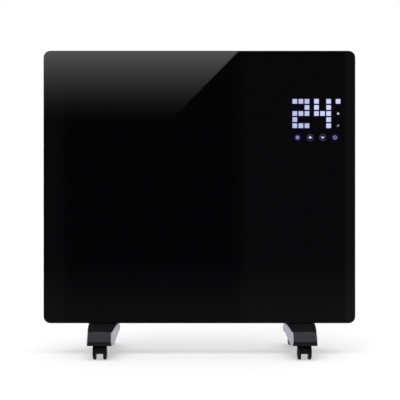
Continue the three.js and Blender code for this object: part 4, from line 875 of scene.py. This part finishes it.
def floor_finish():
    """White floor paint that keeps a shadow, and reads as white where nothing shades it. What glossy pieces
    show of it fades towards its front edge to the level of the wall beyond."""
    material = bpy.data.materials.new("studio_floor")
    material.use_nodes = True
    nodes, links = material.node_tree.nodes, material.node_tree.links
    nodes.clear()
    paint = nodes.new("ShaderNodeBsdfDiffuse")
    paint.inputs["Color"].default_value = FLOOR_PAINT
    lift = nodes.new("ShaderNodeEmission")
    lift.inputs["Color"].default_value = WHITE
    strength = nodes.new("ShaderNodeMath")
    strength.operation = "MULTIPLY"
    strength.inputs[1].default_value = FLOOR_LIFT
    links.new(seen_directly(nodes, links), strength.inputs[0])
    links.new(strength.outputs["Value"], lift.inputs["Strength"])
    both = nodes.new("ShaderNodeAddShader")
    links.new(paint.outputs["BSDF"], both.inputs[0])
    links.new(lift.outputs["Emission"], both.inputs[1])
    place = nodes.new("ShaderNodeTexCoord")
    split = nodes.new("ShaderNodeSeparateXYZ")
    links.new(place.outputs["Object"], split.inputs["Vector"])
    path = nodes.new("ShaderNodeLightPath")
    fade = nodes.new("ShaderNodeMath")
    fade.operation = "MULTIPLY"
    nearness = spread(nodes, links, split.outputs["Y"], 1, 0, FLOOR_FRONT, GLEAM_END)
    links.new(nearness, fade.inputs[0])
    links.new(path.outputs["Is Glossy Ray"], fade.inputs[1])
    dark = nodes.new("ShaderNodeEmission")
    dark.inputs["Color"].default_value = WHITE
    dark.inputs["Strength"].default_value = WALL_FOOT_LEVEL
    shown = nodes.new("ShaderNodeMixShader")
    links.new(fade.outputs["Value"], shown.inputs["Fac"])
    links.new(both.outputs["Shader"], shown.inputs[1])
    links.new(dark.outputs["Emission"], shown.inputs[2])
    output = nodes.new("ShaderNodeOutputMaterial")
    links.new(shown.outputs["Shader"], output.inputs["Surface"])
    return material


studio_sheet(
    "studio_floor",
    [
        (-FLOOR_REACH, FLOOR_FRONT, 0),
        (FLOOR_REACH, FLOOR_FRONT, 0),
        (FLOOR_REACH, FLOOR_BACK, 0),
        (-FLOOR_REACH, FLOOR_BACK, 0),
    ],
    floor_finish(),
)


def front_wall_finish():
    """A dark studio wall behind the camera with a light window high on its left. The window's light falls
    off downwards, goes out softly at the ceiling and ends on the right at a slanting blind. The wall is a
    little paler at its left and right, has a paler strip further right, and a paler skirting below."""
    material = bpy.data.materials.new("front_wall")
    material.use_nodes = True
    nodes, links = material.node_tree.nodes, material.node_tree.links
    nodes.clear()
    place = nodes.new("ShaderNodeTexCoord")
    split = nodes.new("ShaderNodeSeparateXYZ")
    links.new(place.outputs["Object"], split.inputs["Vector"])

    def step(value, ends, low, high, kind="LINEAR"):
        """A value that changes from low to high between two ends."""
        fit = nodes.new("ShaderNodeMapRange")
        fit.interpolation_type = kind
        for key, number in zip(("From Min", "From Max", "To Min", "To Max"), (*ends, low, high)):
            fit.inputs[key].default_value = number
        links.new(value, fit.inputs["Value"])
        return fit.outputs["Result"]

    def combine(kind, first, second):
        """What a maths step makes of two sockets or numbers."""
        node = nodes.new("ShaderNodeMath")
        node.operation = kind
        for socket, value in zip(node.inputs, (first, second)):
            if isinstance(value, (int, float)):
                socket.default_value = value
            else:
                links.new(value, socket)
        return node.outputs["Value"]

    x, z = split.outputs["X"], split.outputs["Z"]
    rise = combine("POWER", step(z, WINDOW_RISE, 0, 1), WINDOW_POWER)
    ceiling = step(z, WINDOW_CEILING, 1, 0, "SMOOTHSTEP")
    opening = step(x, WINDOW_LEFT_END, 0, 1, "SMOOTHSTEP")
    slant = combine("SUBTRACT", x, combine("MULTIPLY", z, BLIND_LEAN))
    blind = step(slant, BLIND_END, 1, 0)
    window = combine("MULTIPLY", combine("MULTIPLY", rise, ceiling), combine("MULTIPLY", opening, blind))
    bright = combine("MULTIPLY", window, WINDOW_LEVEL)
    right = step(x, RIGHT_PART, 0, RIGHT_PART_LEVEL)
    strip = step(x, RIGHT_STRIP, 0, RIGHT_STRIP_LEVEL)
    left = step(x, LEFT_PART, LEFT_PART_LEVEL, 0)
    skirting = step(z, SKIRTING, SKIRTING_LEVEL, 0, "SMOOTHSTEP")
    sides = combine("ADD", combine("ADD", right, strip), combine("ADD", left, skirting))
    level = combine("ADD", bright, combine("ADD", sides, WALL_LEVEL))
    light = nodes.new("ShaderNodeEmission")
    light.inputs["Color"].default_value = WHITE
    links.new(level, light.inputs["Strength"])
    output = nodes.new("ShaderNodeOutputMaterial")
    links.new(light.outputs["Emission"], output.inputs["Surface"])
    return material


front_wall = studio_sheet(
    "front_wall",
    [
        (-WALL_REACH, WALL_Y, WALL_BOTTOM),
        (-WALL_REACH, WALL_Y, WALL_TOP),
        (WALL_REACH, WALL_Y, WALL_TOP),
        (WALL_REACH, WALL_Y, WALL_BOTTOM),
    ],
    front_wall_finish(),
)
for ray in ("visible_camera", "visible_diffuse", "visible_transmission", "visible_shadow"):
    setattr(front_wall, ray, False)


def soft_sun(name, way, spread_degrees, level):
    """A wide, even light from one direction. Its level is what it adds to a white surface that faces it."""
    light = bpy.data.lights.new(name, "SUN")
    light.angle = math.radians(spread_degrees)
    light.energy = level * math.pi
    lamp = bpy.data.objects.new(name, light)
    flat = math.hypot(way[0], way[1])
    lamp.rotation_euler = (math.atan2(flat, way[2]), 0, math.atan2(way[0], -way[1]))
    lamp.visible_glossy = False
    bpy.context.scene.collection.objects.link(lamp)


soft_sun("overhead_lamp", way=(0.0, -0.16, 1.0), spread_degrees=58, level=0.52)
soft_sun("front_lamp", way=(-0.25, -1.0, 0.3), spread_degrees=60, level=0.5)
soft_sun("back_lamp", way=(0.2, 1.0, 0.6), spread_degrees=60, level=0.16)

world = bpy.data.worlds.new("studio")
bpy.context.scene.world = world
world.use_nodes = True
world_nodes, world_links = world.node_tree.nodes, world.node_tree.links
backdrop = world_nodes["Background"]
backdrop.inputs["Color"].default_value = WHITE
sky_level = world_nodes.new("ShaderNodeMapRange")
sky_level.inputs["To Min"].default_value = SKY_LEVEL
sky_level.inputs["To Max"].default_value = 1.0
world_links.new(seen_directly(world_nodes, world_links), sky_level.inputs["Value"])
world_links.new(sky_level.outputs["Result"], backdrop.inputs["Strength"])

camera_data = bpy.data.cameras.new("camera")
camera_data.sensor_width = 36
camera_data.lens = CAMERA_LENS
camera_data.shift_x, camera_data.shift_y = CAMERA_SHIFT
camera = bpy.data.objects.new("camera", camera_data)
camera.location = CAMERA_PLACE
camera.rotation_euler = (math.pi / 2, 0, 0)
bpy.context.scene.collection.objects.link(camera)
bpy.context.scene.camera = camera
bpy.context.scene.view_settings.view_transform = "Standard"
